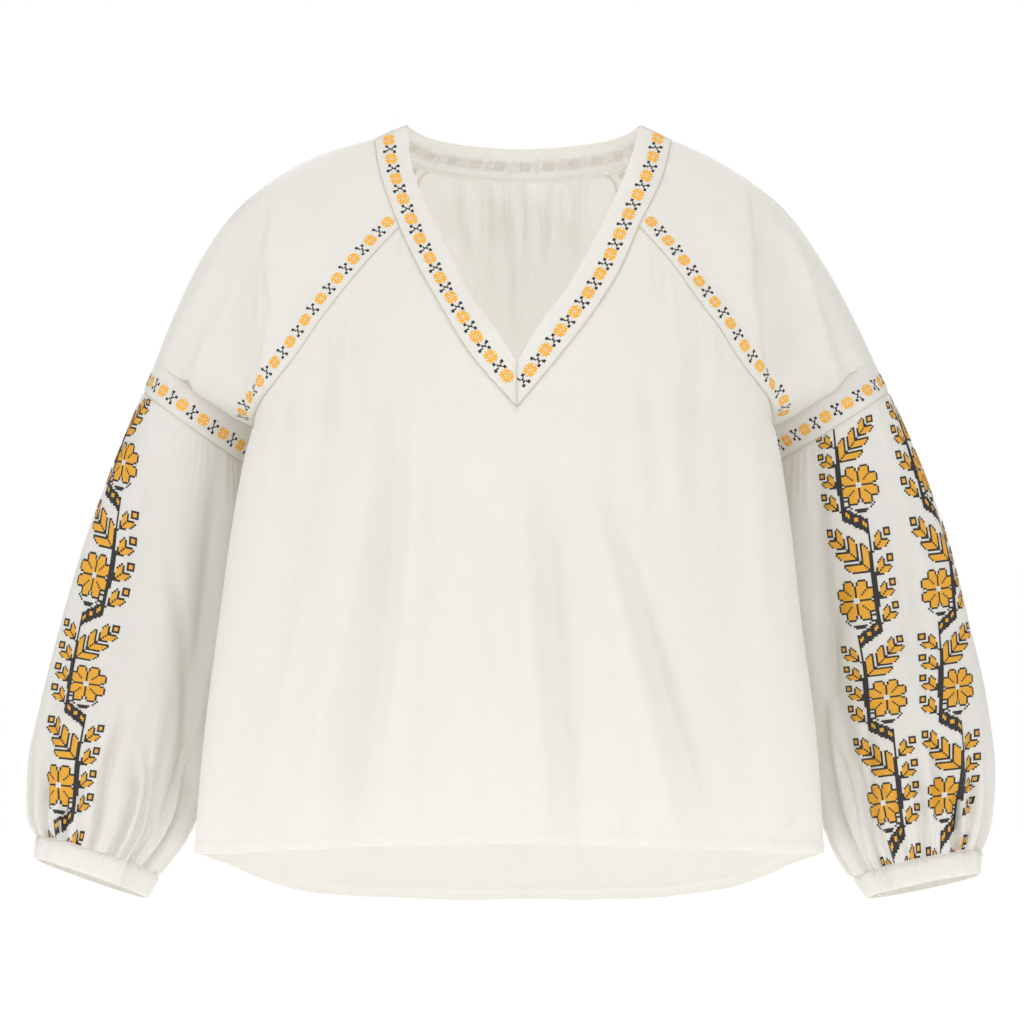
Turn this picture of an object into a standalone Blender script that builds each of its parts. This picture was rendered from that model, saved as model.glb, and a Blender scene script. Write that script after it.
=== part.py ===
# Embroidered folk blouse with raglan balloon sleeves, filled out and open, with nobody in it.
# Metres, +Z up, front towards -Y. The origin is where the wearer's shoulders hold the neckline.
# Every piece is a wall of cloth, cut as a maker would cut it, with a narrow gap at each seam.

import math
from collections import namedtuple

import bpy
import numpy as np

# Sizes of the cloth and the seams, in metres
MM = 0.001
CLOTH = 1.6 * MM
BAND_CLOTH = 2.0 * MM
SEAM_GAP = 0.36 * MM
LEFT, RIGHT = -1, 1
BODY_AXIS = np.array([0.0, 0.0, -0.3])

# How round the body is: 2 is an ellipse, and more is squarer
ROUNDNESS = 2.2

# Heights in millimetres: the hem at the side seam, how far below the V the first whole row of the
# front starts, and the middle of the back's top edge and how far its rows drop to the underarm
SIDE_HEM = -599
V_CLEARANCE = 14
BACK_TOP, BACK_DROP = -18, 230

# How the sleeve leaves the seams: it lies flat on the body down to the first share of the seam,
# hangs free from the second, and splays outwards at the underarm by this angle in degrees
FREE_FROM, FREE_AT, UNDERARM_SPLAY = 0.66, 0.94, 48

# The share of a panel's width where folds fade out, so that neighbours still meet at the seam
FOLD_FADE = 0.84

# Numbers of columns and rows on each piece
PANEL_COLUMNS = 18
BACK_COLUMNS = 40
CAP_COLUMNS = 28
SLEEVE_COLUMNS = 64
CUFF_COLUMNS = 36
SLEEVE_PLEATS = 16

# The body by height, in millimetres: half widths, where its widest line lies, depths from there
Section = namedtuple("Section", "height half_left half_right middle front back")
BODY = [
    Section(-680, 276, 272, -30, 121, 146),
    Section(-600, 270, 265, -30, 121, 144),
    Section(-500, 261, 258, -30, 120, 141),
    Section(-400, 248, 245, -30, 121, 138),
    Section(-320, 237, 236, -30, 122, 136),
    Section(-265, 227, 228, -29, 121, 135),
    Section(-224, 217, 220, -26, 114, 135),
    Section(-165, 212, 213, -19, 97, 132),
    Section(-115, 209, 204, -12, 76, 127),
    Section(-70, 211, 205, -6, 53, 118),
    Section(-35, 209, 205, -2, 41, 106),
    Section(-20, 199, 197, -1, 36, 100),
    Section(-8, 172, 173, 0, 31, 93),
    Section(4, 142, 148, 0, 24, 86),
    Section(30, 100, 118, 0, 12, 70),
]

# The two front edges of the neckband from the shoulder down to the point of the V, in millimetres
NeckEdge = namedtuple("NeckEdge", "share inner_x inner_y inner_z outer_x outer_y outer_z")
NECK = {
    LEFT: [
        NeckEdge(0.00, -90, 4, 22, -118, 4, 10),
        NeckEdge(0.14, -86, -16, -11, -113, -22, -18),
        NeckEdge(0.31, -71, -45, -55, -95, -54, -69),
        NeckEdge(0.46, -52, -72, -94, -79, -76, -103),
        NeckEdge(0.62, -36, -93, -127, -61, -97, -135),
        NeckEdge(0.80, -14, -113, -158, -35, -120, -178),
        NeckEdge(1.00, 4, -127, -186, 4, -139, -223),
    ],
    RIGHT: [
        NeckEdge(0.00, 110, 4, 22, 137, 4, 9),
        NeckEdge(0.14, 103, -16, -3, 128, -21, -24),
        NeckEdge(0.31, 85, -44, -48, 107, -54, -68),
        NeckEdge(0.46, 66, -71, -87, 90, -77, -107),
        NeckEdge(0.62, 47, -93, -121, 67, -101, -144),
        NeckEdge(0.80, 25, -112, -151, 41, -120, -178),
        NeckEdge(1.00, 4, -127, -186, 4, -139, -223),
    ],
}
RAGLAN_CORNER = {LEFT: 0.31, RIGHT: 0.31}

# The back of the neckband from one shoulder to the other, in millimetres
BackNeckEdge = namedtuple("BackNeckEdge", "share top_x top_y top_z low_x low_y low_z")
BACK_NECK = [
    BackNeckEdge(0.00, -90, 4, 22, -118, 4, 10),
    BackNeckEdge(0.10, -80, 31, 17, -102, 40, 3),
    BackNeckEdge(0.25, -57, 60, 12, -72, 74, -10),
    BackNeckEdge(0.50, 8, 81, 8, 8, 96, -18),
    BackNeckEdge(0.75, 76, 60, 12, 82, 74, -13),
    BackNeckEdge(0.90, 100, 31, 17, 118, 40, 1),
    BackNeckEdge(1.00, 110, 4, 22, 137, 4, 9),
]
BACK_CORNER = {LEFT: 0.25, RIGHT: 0.75}

# The raglan seams from the neckband to the underarm: height in millimetres and turn in degrees,
# where a turn of 0 is the centre front, 90 the side and 180 the centre back
SeamPoint = namedtuple("SeamPoint", "share height turn")
FRONT_RAGLAN = {
    LEFT: [
        SeamPoint(0.00, -69, 25), SeamPoint(0.20, -106, 36), SeamPoint(0.45, -143, 46.5),
        SeamPoint(0.68, -183, 59), SeamPoint(0.90, -226, 86), SeamPoint(1.00, -240, 110),
    ],
    RIGHT: [
        SeamPoint(0.00, -68, 29), SeamPoint(0.20, -105, 40.5), SeamPoint(0.45, -145, 51.5),
        SeamPoint(0.68, -184, 62.5), SeamPoint(0.90, -218, 84), SeamPoint(1.00, -240, 110),
    ],
}
BACK_RAGLAN = [
    SeamPoint(0.00, -11, 153), SeamPoint(0.20, -50, 154), SeamPoint(0.45, -100, 143),
    SeamPoint(0.68, -150, 132), SeamPoint(0.90, -207, 119), SeamPoint(1.00, -240, 110),
]

# The side seam below the underarm, and the hem all round
SideSeam = namedtuple("SideSeam", "height turn")
SIDE_SEAM = [SideSeam(-610, 91), SideSeam(-400, 97), SideSeam(-300, 104), SideSeam(-240, 110)]
Hem = namedtuple("Hem", "turn height")
HEM = [
    Hem(0, -581), Hem(35, -587), Hem(60, -594), Hem(91, SIDE_HEM), Hem(114, -612),
    Hem(126, -626), Hem(140, -641), Hem(160, -650), Hem(180, -652),
]

# The sleeve by station: 0 at the neckband, 1 at the underarm, 1.1 at the seam across the sleeve,
# 2.1 where it is gathered into the cuff and 2.2 at the cuff's end. Millimetres and degrees.
# The outer line is the top of the shoulder and then the outside of the sleeve. The reaches say
# how far the cloth runs on from the seams and from the outer line before it turns.
Station = namedtuple("Station", "at out_x out_y out_z seam_reach out_reach back_reach")
OUTER = {
    LEFT: [
        Station(0.00, -118, 4, 10, 26, 26, 26),
        Station(0.20, -168, 8, -5, 34, 34, 40),
        Station(0.45, -226, 15, -41, 42, 48, 54),
        Station(0.68, -266, 22, -92, 36, 58, 60),
        Station(0.90, -294, 29, -149, 26, 66, 66),
        Station(1.00, -307, 33, -180, 48, 72, 74),
        Station(1.10, -318, 35, -206, 76, 76, 78),
        Station(1.26, -343, 40, -265, 78, 78, 80),
        Station(1.41, -365, 43, -322, 82, 82, 82),
        Station(1.60, -387, 45, -393, 84, 84, 84),
        Station(1.80, -406, 42, -471, 86, 86, 86),
        Station(1.95, -416, 35, -532, 80, 80, 80),
        Station(2.05, -415, 26, -572, 62, 62, 62),
        Station(2.10, -410, 20, -589, 45, 45, 45),
        Station(2.20, -411, 13, -607, 42, 42, 42),
    ],
    RIGHT: [
        Station(0.00, 137, 4, 9, 26, 26, 26),
        Station(0.20, 180, 8, -11, 34, 34, 40),
        Station(0.45, 228, 15, -45, 42, 48, 54),
        Station(0.68, 268, 22, -98, 36, 58, 60),
        Station(0.90, 298, 29, -152, 26, 66, 66),
        Station(1.00, 311, 33, -178, 48, 72, 74),
        Station(1.10, 325, 35, -206, 76, 76, 78),
        Station(1.26, 355, 40, -273, 78, 78, 80),
        Station(1.41, 379, 43, -340, 82, 82, 82),
        Station(1.60, 396, 45, -407, 84, 84, 84),
        Station(1.80, 410, 42, -470, 86, 86, 86),
        Station(1.95, 416, 35, -532, 80, 80, 80),
        Station(2.05, 412, 26, -574, 62, 62, 62),
        Station(2.10, 405, 20, -601, 45, 45, 45),
        Station(2.20, 402, 13, -621, 42, 42, 42),
    ],
}

# The underside of the sleeve below the underarm. Splay is how far its cloth first runs outwards,
# and tilt is how far the front of a ring stands above its back, both in degrees.
Under = namedtuple("Under", "at in_x in_y in_z splay tilt")
UNDER = {
    LEFT: [
        Under(1.00, -205, 25, -240, 42, 0),
        Under(1.10, -223, 36, -273, 22, 0),
        Under(1.26, -227, 42, -315, 8, 0),
        Under(1.41, -231, 46, -364, 4, 0),
        Under(1.60, -240, 48, -424, 0, 0),
        Under(1.80, -248, 45, -489, 0, 2),
        Under(1.95, -263, 38, -549, 0, 6),
        Under(2.05, -281, 28, -592, 0, 10),
        Under(2.10, -303, 20, -622, 0, 12),
        Under(2.20, -313, 13, -641, 0, 12),
    ],
    RIGHT: [
        Under(1.00, 206, 25, -240, 42, 0),
        Under(1.10, 226, 36, -268, 22, 0),
        Under(1.26, 229, 42, -314, 8, 0),
        Under(1.41, 233, 46, -368, 4, 0),
        Under(1.60, 240, 48, -428, 0, 0),
        Under(1.80, 249, 45, -489, 0, 2),
        Under(1.95, 262, 38, -549, 0, 6),
        Under(2.05, 279, 28, -598, 0, 10),
        Under(2.10, 294, 20, -624, 0, 12),
        Under(2.20, 304, 13, -641, 0, 12),
    ],
}
UNDERARM, CROSS_SEAM, GATHER_SEAM, CUFF_END = 1.0, 1.1, 2.1, 2.2

# Large folds of the body: a line from top to bottom in millimetres, its half width and its depth.
# A negative depth is a ridge. Front folds first, then similar ones on the back.
Fold = namedtuple("Fold", "top_x top_z low_x low_z width depth")
FRONT_FOLDS = [
    Fold(-96, -220, -128, -600, 17, 8),
    Fold(-122, -200, -172, -600, 20, -7),
    Fold(-160, -190, -243, -600, 22, 6),
    Fold(28, -250, 54, -600, 20, 6),
    Fold(6, -250, 28, -600, 18, -5),
    Fold(66, -260, 142, -600, 22, -6),
    Fold(92, -330, 166, -600, 17, 7),
    Fold(156, -150, 188, -600, 22, 5),
    Fold(-70, -400, -66, -600, 22, 4),
]
BACK_FOLDS = [
    Fold(-20, -60, -42, -660, 20, 8),
    Fold(22, -60, 66, -660, 20, 7),
    Fold(-62, -70, -112, -660, 22, -7),
    Fold(64, -70, 122, -660, 22, 6),
    Fold(2, -60, 10, -660, 18, -6),
    Fold(-110, -200, -178, -660, 22, 6),
    Fold(112, -200, 184, -660, 22, -6),
]

# The deep drape from each shoulder's tip, where the sleeve falls behind the chest: by height in
# millimetres, how far out it lies and how deep it is on the front and on the back
Drape = namedtuple("Drape", "height out depth back_out back_depth")
DRAPE = {
    LEFT: [
        Drape(-230, 228, 0, 210, 0), Drape(-190, 228, 8, 214, 5), Drape(-150, 227, 15, 212, 8),
        Drape(-100, 225, 15, 210, 8), Drape(-62, 222, 9, 208, 4), Drape(-34, 220, 0, 206, 0),
    ],
    RIGHT: [
        Drape(-230, 230, 0, 212, 0), Drape(-190, 228, 8, 214, 5), Drape(-150, 225, 15, 212, 8),
        Drape(-100, 218, 15, 208, 8), Drape(-62, 215, 9, 206, 4), Drape(-34, 212, 0, 204, 0),
    ],
}
DRAPE_INNER_WIDTH, DRAPE_OUTER_WIDTH = 8, 19

# Long folds of the lower sleeve: where round the ring they lie, as a share of the way round from
# the underside over the front, and their width and depth in millimetres
SleeveFold = namedtuple("SleeveFold", "around width depth")
SLEEVE_FOLDS = [
    SleeveFold(0.13, 0.030, 7), SleeveFold(0.21, 0.030, -4), SleeveFold(0.30, 0.024, 4),
    SleeveFold(0.62, 0.030, 6), SleeveFold(0.74, 0.035, -5), SleeveFold(0.86, 0.030, 6),
]
PLEAT_DEPTH = 3.4 * MM
BACK_GATHERS, BACK_GATHER_DEPTH, BACK_GATHER_SPAN = 9, 2.6 * MM, 64

# Rows of each piece, as shares of a seam or as stations
TIP_ROW = 0.012
RAGLAN_ROWS = [0.0, 0.12, 0.25, 0.38, 0.51, 0.64, 0.76, 0.87, 0.95, 1.0]
BODY_ROWS = [0.0, 0.08, 0.22, 0.38, 0.54, 0.70, 0.86, 1.0]
SLEEVE_ROWS = [1.10, 1.28, 1.50, 1.72, 1.90, 2.01, 2.065, 2.10]

CLOTH_COLOUR = (0.86, 0.83, 0.76, 1.0)
BAND_COLOUR = (0.84, 0.80, 0.72, 1.0)


def clear_scene():
    for thing in list(bpy.data.objects):
        bpy.data.objects.remove(thing, do_unlink=True)


def along(table, column, at):
    """Read a column of a table between its rows, on a smooth curve that doesn't overshoot."""
    keys = np.array([row[0] for row in table], float)
    values = np.array([getattr(row, column) for row in table], float)
    steps = np.diff(keys)
    slopes = np.diff(values) / steps
    rates = np.zeros_like(values)
    rates[0], rates[-1] = slopes[0], slopes[-1]
    before, after = slopes[:-1], slopes[1:]
    same_way = before * after > 0
    rates[1:-1][same_way] = 2 * before[same_way] * after[same_way] / (before + after)[same_way]
    at = np.clip(np.asarray(at, float), keys[0], keys[-1])
    i = np.clip(np.searchsorted(keys, at) - 1, 0, len(steps) - 1)
    t = (at - keys[i]) / steps[i]
    start = (1 + 2 * t) * (1 - t) ** 2 * values[i] + t * (1 - t) ** 2 * steps[i] * rates[i]
    end = t * t * (3 - 2 * t) * values[i + 1] - t * t * (1 - t) * steps[i] * rates[i + 1]
    return start + end


def ease(value, low, high):
    """0 below low, 1 above high, and a soft step between."""
    t = np.clip((np.asarray(value, float) - low) / (high - low), 0, 1)
    return t * t * (3 - 2 * t)


def points(x, y, z):
    return np.stack(np.broadcast_arrays(x, y, z), axis=-1)


def unit(vectors):
    return vectors / np.maximum(np.linalg.norm(vectors, axis=-1, keepdims=True), 1e-9)


def half_width(side, height):
    """Half width of the body at a height, both in millimetres."""
    return along(BODY, "half_left" if side == LEFT else "half_right", height)


def turn_at(x, height):
    """Turn in degrees of a front point from its distance to the middle, in millimetres."""
    side = RIGHT if x >= 0 else LEFT
    across = min(abs(x) / float(half_width(side, height)), 1.0)
    return side * math.degrees(math.asin(across ** (ROUNDNESS / 2)))


def skin(turn, height):
    """The outer face of the body's cloth. Turn is in degrees, negative on the left."""
    turn, height = np.broadcast_arrays(np.asarray(turn, float), np.asarray(height, float))
    sine, cosine = np.sin(np.radians(turn)), np.cos(np.radians(turn))
    half = np.where(turn < 0, half_width(LEFT, height), half_width(RIGHT, height))
    depth = np.where(cosine > 0, -along(BODY, "front", height), along(BODY, "back", height))
    x = np.sign(sine) * half * np.abs(sine) ** (2 / ROUNDNESS)
    y = along(BODY, "middle", height) + depth * np.abs(cosine) ** (2 / ROUNDNESS)
    return points(x, y, height) * MM


def fold_depth(folds, x, z):
    """How far the large folds press the cloth in at a place of the body, in metres."""
    total = np.zeros_like(x)
    for fold in folds:
        down = np.clip((fold.top_z - z / MM) / (fold.top_z - fold.low_z), 0, 1.2)
        middle = fold.top_x + (fold.low_x - fold.top_x) * down
        across = (x / MM - middle) / fold.width
        total += fold.depth * np.exp(-across ** 2) * ease(down, 0.0, 0.45)
    return total * MM


def neck_edge(side, share, edge):
    """A point on the inner or outer front edge of the neckband."""
    table = NECK[side]
    return points(*(along(table, edge + axis, share) for axis in ("_x", "_y", "_z"))) * MM


def back_neck_edge(share, edge):
    """A point on the top or low edge of the neckband's back."""
    return points(*(along(BACK_NECK, edge + axis, share) for axis in ("_x", "_y", "_z"))) * MM


def shoulder_facing(side):
    """The way that the neckband faces at the shoulder, where its front and back pieces meet."""
    across = neck_edge(side, np.array(0.0), "outer") - neck_edge(side, np.array(0.0), "inner")
    return unit(np.cross(across, [0.0, side, 0.0]) * [1, 0, 1])


def front_band_facing(side, shares):
    """The way that the neckband's front faces, square to its length and to its width."""
    ahead, behind = np.clip(shares + 0.01, 0, 1), np.clip(shares - 0.01, 0, 1)
    length = neck_edge(side, ahead, "outer") - neck_edge(side, behind, "outer")
    width = neck_edge(side, shares, "outer") - neck_edge(side, shares, "inner")
    facing = unit(np.cross(length, width) * side)
    facing[shares < 0.005] = shoulder_facing(side)
    facing[shares > 0.995] = unit(facing[shares > 0.995] * [0, 1, 1])
    return facing


def back_band_facing(shares):
    """The way that the neckband's back faces, square to its length and to its width."""
    ahead, behind = np.clip(shares + 0.01, 0, 1), np.clip(shares - 0.01, 0, 1)
    length = back_neck_edge(ahead, "low") - back_neck_edge(behind, "low")
    width = back_neck_edge(shares, "low") - back_neck_edge(shares, "top")
    facing = unit(np.cross(length, width))
    facing[shares < 0.005] = shoulder_facing(LEFT)
    facing[shares > 0.995] = shoulder_facing(RIGHT)
    return facing


def front_raglan(side, share):
    """The front raglan seam, starting exactly on the neckband's outer edge."""
    table = FRONT_RAGLAN[side]
    seam = skin(side * along(table, "turn", share), along(table, "height", share))
    start = skin(side * table[0].turn, table[0].height)
    shift = neck_edge(side, RAGLAN_CORNER[side], "outer") - start
    return seam + shift * (1 - ease(share, 0, 0.5))[..., None]


def back_raglan(side, share):
    """The back raglan seam, starting exactly on the neckband's low edge."""
    seam = skin(side * along(BACK_RAGLAN, "turn", share), along(BACK_RAGLAN, "height", share))
    start = skin(side * BACK_RAGLAN[0].turn, BACK_RAGLAN[0].height)
    shift = back_neck_edge(BACK_CORNER[side], "low") - start
    end_shift = skin(side * FRONT_RAGLAN[side][-1].turn, FRONT_RAGLAN[side][-1].height)
    end_shift = end_shift - skin(side * BACK_RAGLAN[-1].turn, BACK_RAGLAN[-1].height)
    near_end = ease(share, 0.6, 1.0)[..., None]
    return seam + shift * (1 - ease(share, 0, 0.5))[..., None] + end_shift * near_end


def bezier(start, start_reach, end_reach, end, t):
    """A cubic curve between two points, given the two points that it reaches for."""
    t = t[:, None]
    return (start * (1 - t) ** 3 + 3 * start_reach * t * (1 - t) ** 2
            + 3 * end_reach * t * t * (1 - t) + end * t ** 3)


def skin_facing(turn, height):
    """The way that the body's cloth faces. Turn is in degrees, negative on the left."""
    turn, height = np.asarray(turn, float), np.asarray(height, float)
    by_turn = skin(turn + 0.5, height) - skin(turn - 0.5, height)
    by_height = skin(turn, height + 1) - skin(turn, height - 1)
    return unit(np.cross(by_turn, by_height))


def seam_facing(side, share, table):
    """The way that the body's cloth faces at a raglan seam."""
    turn, height = side * along(table, "turn", share), along(table, "height", share)
    return skin_facing(turn, height)


def leaving(side, share, table, start, target, forward):
    """The way in which the sleeve's cloth first runs from a raglan seam."""
    facing = seam_facing(side, share, table)
    chord = target - start
    flat = unit(chord - facing * float(np.dot(chord, facing)))
    splay = math.radians(90 - UNDERARM_SPLAY * float(ease(share, 0.9, 1.0)))
    freed = np.array([side * math.sin(splay), forward * math.cos(splay), 0.0])
    free = float(ease(share, FREE_FROM, FREE_AT))
    return unit(flat * (1 - free) + freed * free)


def sleeve_ring(side, at, columns):
    """One row of the sleeve at a station: from the front seam over the outer line to the back."""
    outer = OUTER[side]
    ridge = points(*(along(outer, name, at) for name in ("out_x", "out_y", "out_z"))) * MM
    seam_reach, out_reach, back_reach = (
        float(along(outer, name, at)) * MM for name in ("seam_reach", "out_reach", "back_reach"))
    if at < UNDERARM:
        start, end = front_raglan(side, np.array(at)), back_raglan(side, np.array(at))
        start_way = leaving(side, at, FRONT_RAGLAN[side], start, ridge, -1)
        end_way = leaving(side, at, BACK_RAGLAN, end, ridge, 1)
        ahead = np.array([0.0, -1.0, 0.0])
        end_reach = back_reach * (0.8 - 0.25 * float(ease(at, 0.5, 0.9)))
    else:
        under = UNDER[side]
        start = points(*(along(under, name, at) for name in ("in_x", "in_y", "in_z"))) * MM
        corner = skin(side * FRONT_RAGLAN[side][-1].turn, FRONT_RAGLAN[side][-1].height)
        start = start + (corner - start) * (1 - float(ease(at, UNDERARM, CROSS_SEAM)))
        end = start
        splay, tilt = (math.radians(float(along(under, name, at))) for name in ("splay", "tilt"))
        ahead = np.array([0.0, -math.cos(tilt), math.sin(tilt)])
        outward = unit(ridge - start)
        start_way = ahead * math.cos(splay) + outward * math.sin(splay)
        end_way = -ahead * math.cos(splay) + outward * math.sin(splay)
        end_reach = back_reach
    half = columns // 2
    t = np.linspace(0, 1, half + 1)
    front = bezier(start, start + start_way * seam_reach, ridge + ahead * out_reach, ridge, t)
    back = bezier(ridge, ridge - ahead * back_reach, end + end_way * end_reach, end, t)
    return np.concatenate([front, back[1:]])


def neck_row(side, columns):
    """The sleeve's top row along the neckband, from its front corner to its back one."""
    half = columns // 2
    front_shares = np.linspace(RAGLAN_CORNER[side], 0, half + 1)
    shoulder = 0.0 if side == LEFT else 1.0
    back_shares = np.linspace(shoulder, BACK_CORNER[side], half + 1)[1:]
    row = np.concatenate([
        neck_edge(side, front_shares, "outer"), back_neck_edge(back_shares, "low")])
    facing = np.concatenate([front_band_facing(side, front_shares), back_band_facing(back_shares)])
    return row, facing


def press_drape(side, grid, facing):
    """Press in the drape that falls from the shoulder's tip, on the front and on the back."""
    x, z = grid[..., 0] * side / MM, grid[..., 2] / MM
    around = np.linspace(0, 1, grid.shape[1])[None, :]
    window = ease(around, 0.0, 0.10) * (1 - ease(around, 0.90, 1.0))
    table = DRAPE[side]
    front = x - along(table, "out", z)
    width = np.where(front < 0, DRAPE_INNER_WIDTH, DRAPE_OUTER_WIDTH)
    depth = along(table, "depth", z) * np.exp(-(front / width) ** 2) * (around < 0.5)
    back = (x - along(table, "back_out", z)) / DRAPE_OUTER_WIDTH
    depth = depth + along(table, "back_depth", z) * np.exp(-back ** 2) * (around > 0.5)
    return grid - facing * (depth * window * MM)[..., None]


def grid_normals(grid, inside):
    """The way each point of a grid faces, away from what lies inside."""
    normal = unit(np.cross(np.gradient(grid, axis=0), np.gradient(grid, axis=1)))
    return normal * np.sign((normal * (grid - inside)).sum(axis=-1).mean())


def ring_normals(grid):
    """Facing of each point of closed rings, kept within the ring's own plane."""
    ahead = np.roll(grid, -1, axis=1) - np.roll(grid, 1, axis=1)
    centre = grid.mean(axis=1, keepdims=True)
    spokes = grid - centre
    plane = unit(np.cross(spokes, np.roll(spokes, -1, axis=1)).mean(axis=1, keepdims=True))
    normal = unit(np.cross(ahead, np.broadcast_to(plane, grid.shape)))
    outward = np.sign((normal * spokes).sum(axis=-1, keepdims=True).mean(axis=1, keepdims=True))
    return normal * outward


def pull_in(grid, facing, edges, gap=SEAM_GAP / 2):
    """Draw the named edges of a grid back, square to the edge and along the cloth, for a gap."""
    moved = grid.copy()
    lines = {"first_row": (0, slice(None)), "last_row": (-1, slice(None)),
             "first_column": (slice(None), 0), "last_column": (slice(None), -1)}
    inside = {"first_row": (1, slice(None)), "last_row": (-2, slice(None)),
              "first_column": (slice(None), 1), "last_column": (slice(None), -2)}
    for edge in edges:
        line = grid[lines[edge]]
        square = unit(np.cross(np.gradient(line, axis=0), facing[lines[edge]]))
        inward = ((grid[inside[edge]] - line) * square).sum(axis=-1, keepdims=True)
        moved[lines[edge]] += square * np.sign(inward) * gap
    return moved


def draw_rings(grid, rows, gap=SEAM_GAP / 2):
    """Draw the named rings of a tube in along it, for the gap at a seam."""
    moved = grid.copy()
    for row in rows:
        neighbour = 1 if row == 0 else row - 1
        way = unit(grid[neighbour].mean(axis=0) - grid[row].mean(axis=0))
        moved[row] += way * gap
    return moved


def material(name, colour):
    made = bpy.data.materials.new(name)
    made.use_nodes = True
    shader = made.node_tree.nodes["Principled BSDF"]
    shader.inputs["Base Color"].default_value = colour
    shader.inputs["Roughness"].default_value = 0.9
    shader.inputs["Metallic"].default_value = 0.0
    return made


def wall(name, patches, thickness, colour):
    """Make one closed wall from grids of outer points and facings. Shared points are welded."""
    places, outer, facings, quads = {}, [], [], []
    for grid, facing, closed in patches:
        rows, columns = grid.shape[:2]
        index = np.zeros((rows, columns), int)
        for row in range(rows):
            for column in range(columns):
                key = tuple(np.round(grid[row, column] / 2e-5).astype(int))
                if key not in places:
                    places[key] = len(outer)
                    outer.append(grid[row, column])
                    facings.append(np.zeros(3))
                index[row, column] = places[key]
                facings[places[key]] = facings[places[key]] + facing[row, column]
        steps = columns if closed else columns - 1
        for row in range(rows - 1):
            for column in range(steps):
                after = (column + 1) % columns
                quad = [index[row, column], index[row + 1, column],
                        index[row + 1, after], index[row, after]]
                corners = list(dict.fromkeys(quad))
                if len(corners) > 2:
                    quads.append(corners)
    outer, facings = np.array(outer), unit(np.array(facings))
    count = len(outer)
    inner = outer - facings * thickness
    edges = {}
    for quad in quads:
        for one, two in zip(quad, quad[1:] + quad[:1]):
            edges[(one, two)] = edges.get((one, two), 0) + 1
    faces = [list(quad) for quad in quads]
    faces += [[corner + count for corner in reversed(quad)] for quad in quads]
    for one, two in edges:
        if (two, one) not in edges:
            faces.append([two, one, one + count, two + count])
    first = outer[[quad[0] for quad in quads]]
    spans = [outer[[quad[i] for quad in quads]] - first for i in (1, 2)]
    faces_out = (np.cross(*spans) * facings[[quad[0] for quad in quads]]).sum() > 0
    if not faces_out:
        faces = [face[::-1] for face in faces]
    mesh = bpy.data.meshes.new(name)
    mesh.from_pydata(np.concatenate([outer, inner]).tolist(), [], faces)
    mesh.validate()
    mesh.shade_smooth()
    mesh.set_sharp_from_angle(angle=math.radians(50))
    made = bpy.data.objects.new(name, mesh)
    bpy.context.scene.collection.objects.link(made)
    mesh.materials.append(material(name + "_cloth", colour))
    return made


def half_front(side):
    """One half of the front, from the V and centre line out to the raglan and side seam."""
    corner = RAGLAN_CORNER[side]
    across = np.linspace(0, 1, PANEL_COLUMNS + 1)
    centre_turn = turn_at(NECK[side][-1].outer_x, NECK[side][-1].outer_z)
    rows, edge = [], []
    seam_shares = [TIP_ROW] + RAGLAN_ROWS[1:-1]
    for share in seam_shares:
        along_neck = corner + (1 - corner) * share / seam_shares[-1]
        inner = neck_edge(side, np.array(along_neck), "outer")
        x, z = inner[0] / MM, inner[2] / MM
        start_turn = centre_turn if share == seam_shares[-1] else turn_at(x, z)
        outer = front_raglan(side, np.array(share))
        end_turn = side * float(along(FRONT_RAGLAN[side], "turn", share))
        row = skin(start_turn + (end_turn - start_turn) * across, z + (outer[2] / MM - z) * across)
        first_shift, last_shift = inner - row[0], outer - row[-1]
        row += first_shift * (1 - across)[:, None] + last_shift * across[:, None]
        rows.append(row)
        edge.append(seam_facing(side, share, FRONT_RAGLAN[side]))
    neck_low = NECK[side][-1].outer_z
    arm_low = FRONT_RAGLAN[side][-1].height
    for share in BODY_ROWS:
        centre_low = neck_low - V_CLEARANCE
        top = centre_low + (arm_low - centre_low) * across
        end_turn = side * float(along(SIDE_SEAM, "turn", arm_low + (SIDE_HEM - arm_low) * share))
        turn = centre_turn + (end_turn - centre_turn) * across
        hem = along(HEM, "height", np.abs(turn))
        level = top + (hem - top) * share
        rows.append(skin(turn, level))
        edge.append(skin_facing(end_turn, level[-1]))
    neck_shares = corner + (1 - corner) * np.array(seam_shares) / seam_shares[-1]
    grid = np.array(rows)
    facing = grid_normals(grid, BODY_AXIS)
    facing[:, -1] = edge
    facing[:len(seam_shares), 0] = front_band_facing(side, neck_shares)
    return grid, facing


def folded_half_front(side):
    """One half of the front with its folds and its seam gaps, and the row where the halves join."""
    grid, facing = half_front(side)
    away = 1 - ease(np.linspace(0, 1, PANEL_COLUMNS + 1), FOLD_FADE, 1.0)
    depth = fold_depth(FRONT_FOLDS, grid[..., 0], grid[..., 2]) * away
    grid = grid - facing * depth[..., None]
    whole = len(RAGLAN_ROWS) - 1
    upper = pull_in(grid[:whole], facing[:whole], ("first_column",))
    upper[-1] = grid[whole - 1]
    grid = pull_in(np.concatenate([upper, grid[whole:]]), facing, ("last_column",))
    return grid, facing, whole - 1


def make_front():
    """The front, cut in one piece with a deep V, its two halves welded down the middle."""
    left, left_facing, joined = folded_half_front(LEFT)
    right, right_facing, joined = folded_half_front(RIGHT)
    shared = (left[joined:, 0] + right[joined:, 0]) / 2
    shared[0, 2] -= SEAM_GAP
    left[joined:, 0], right[joined:, 0] = shared, shared
    patches = [(left[:, ::-1], left_facing[:, ::-1], False), (right, right_facing, False)]
    return wall("front", patches, CLOTH, CLOTH_COLOUR)


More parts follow.
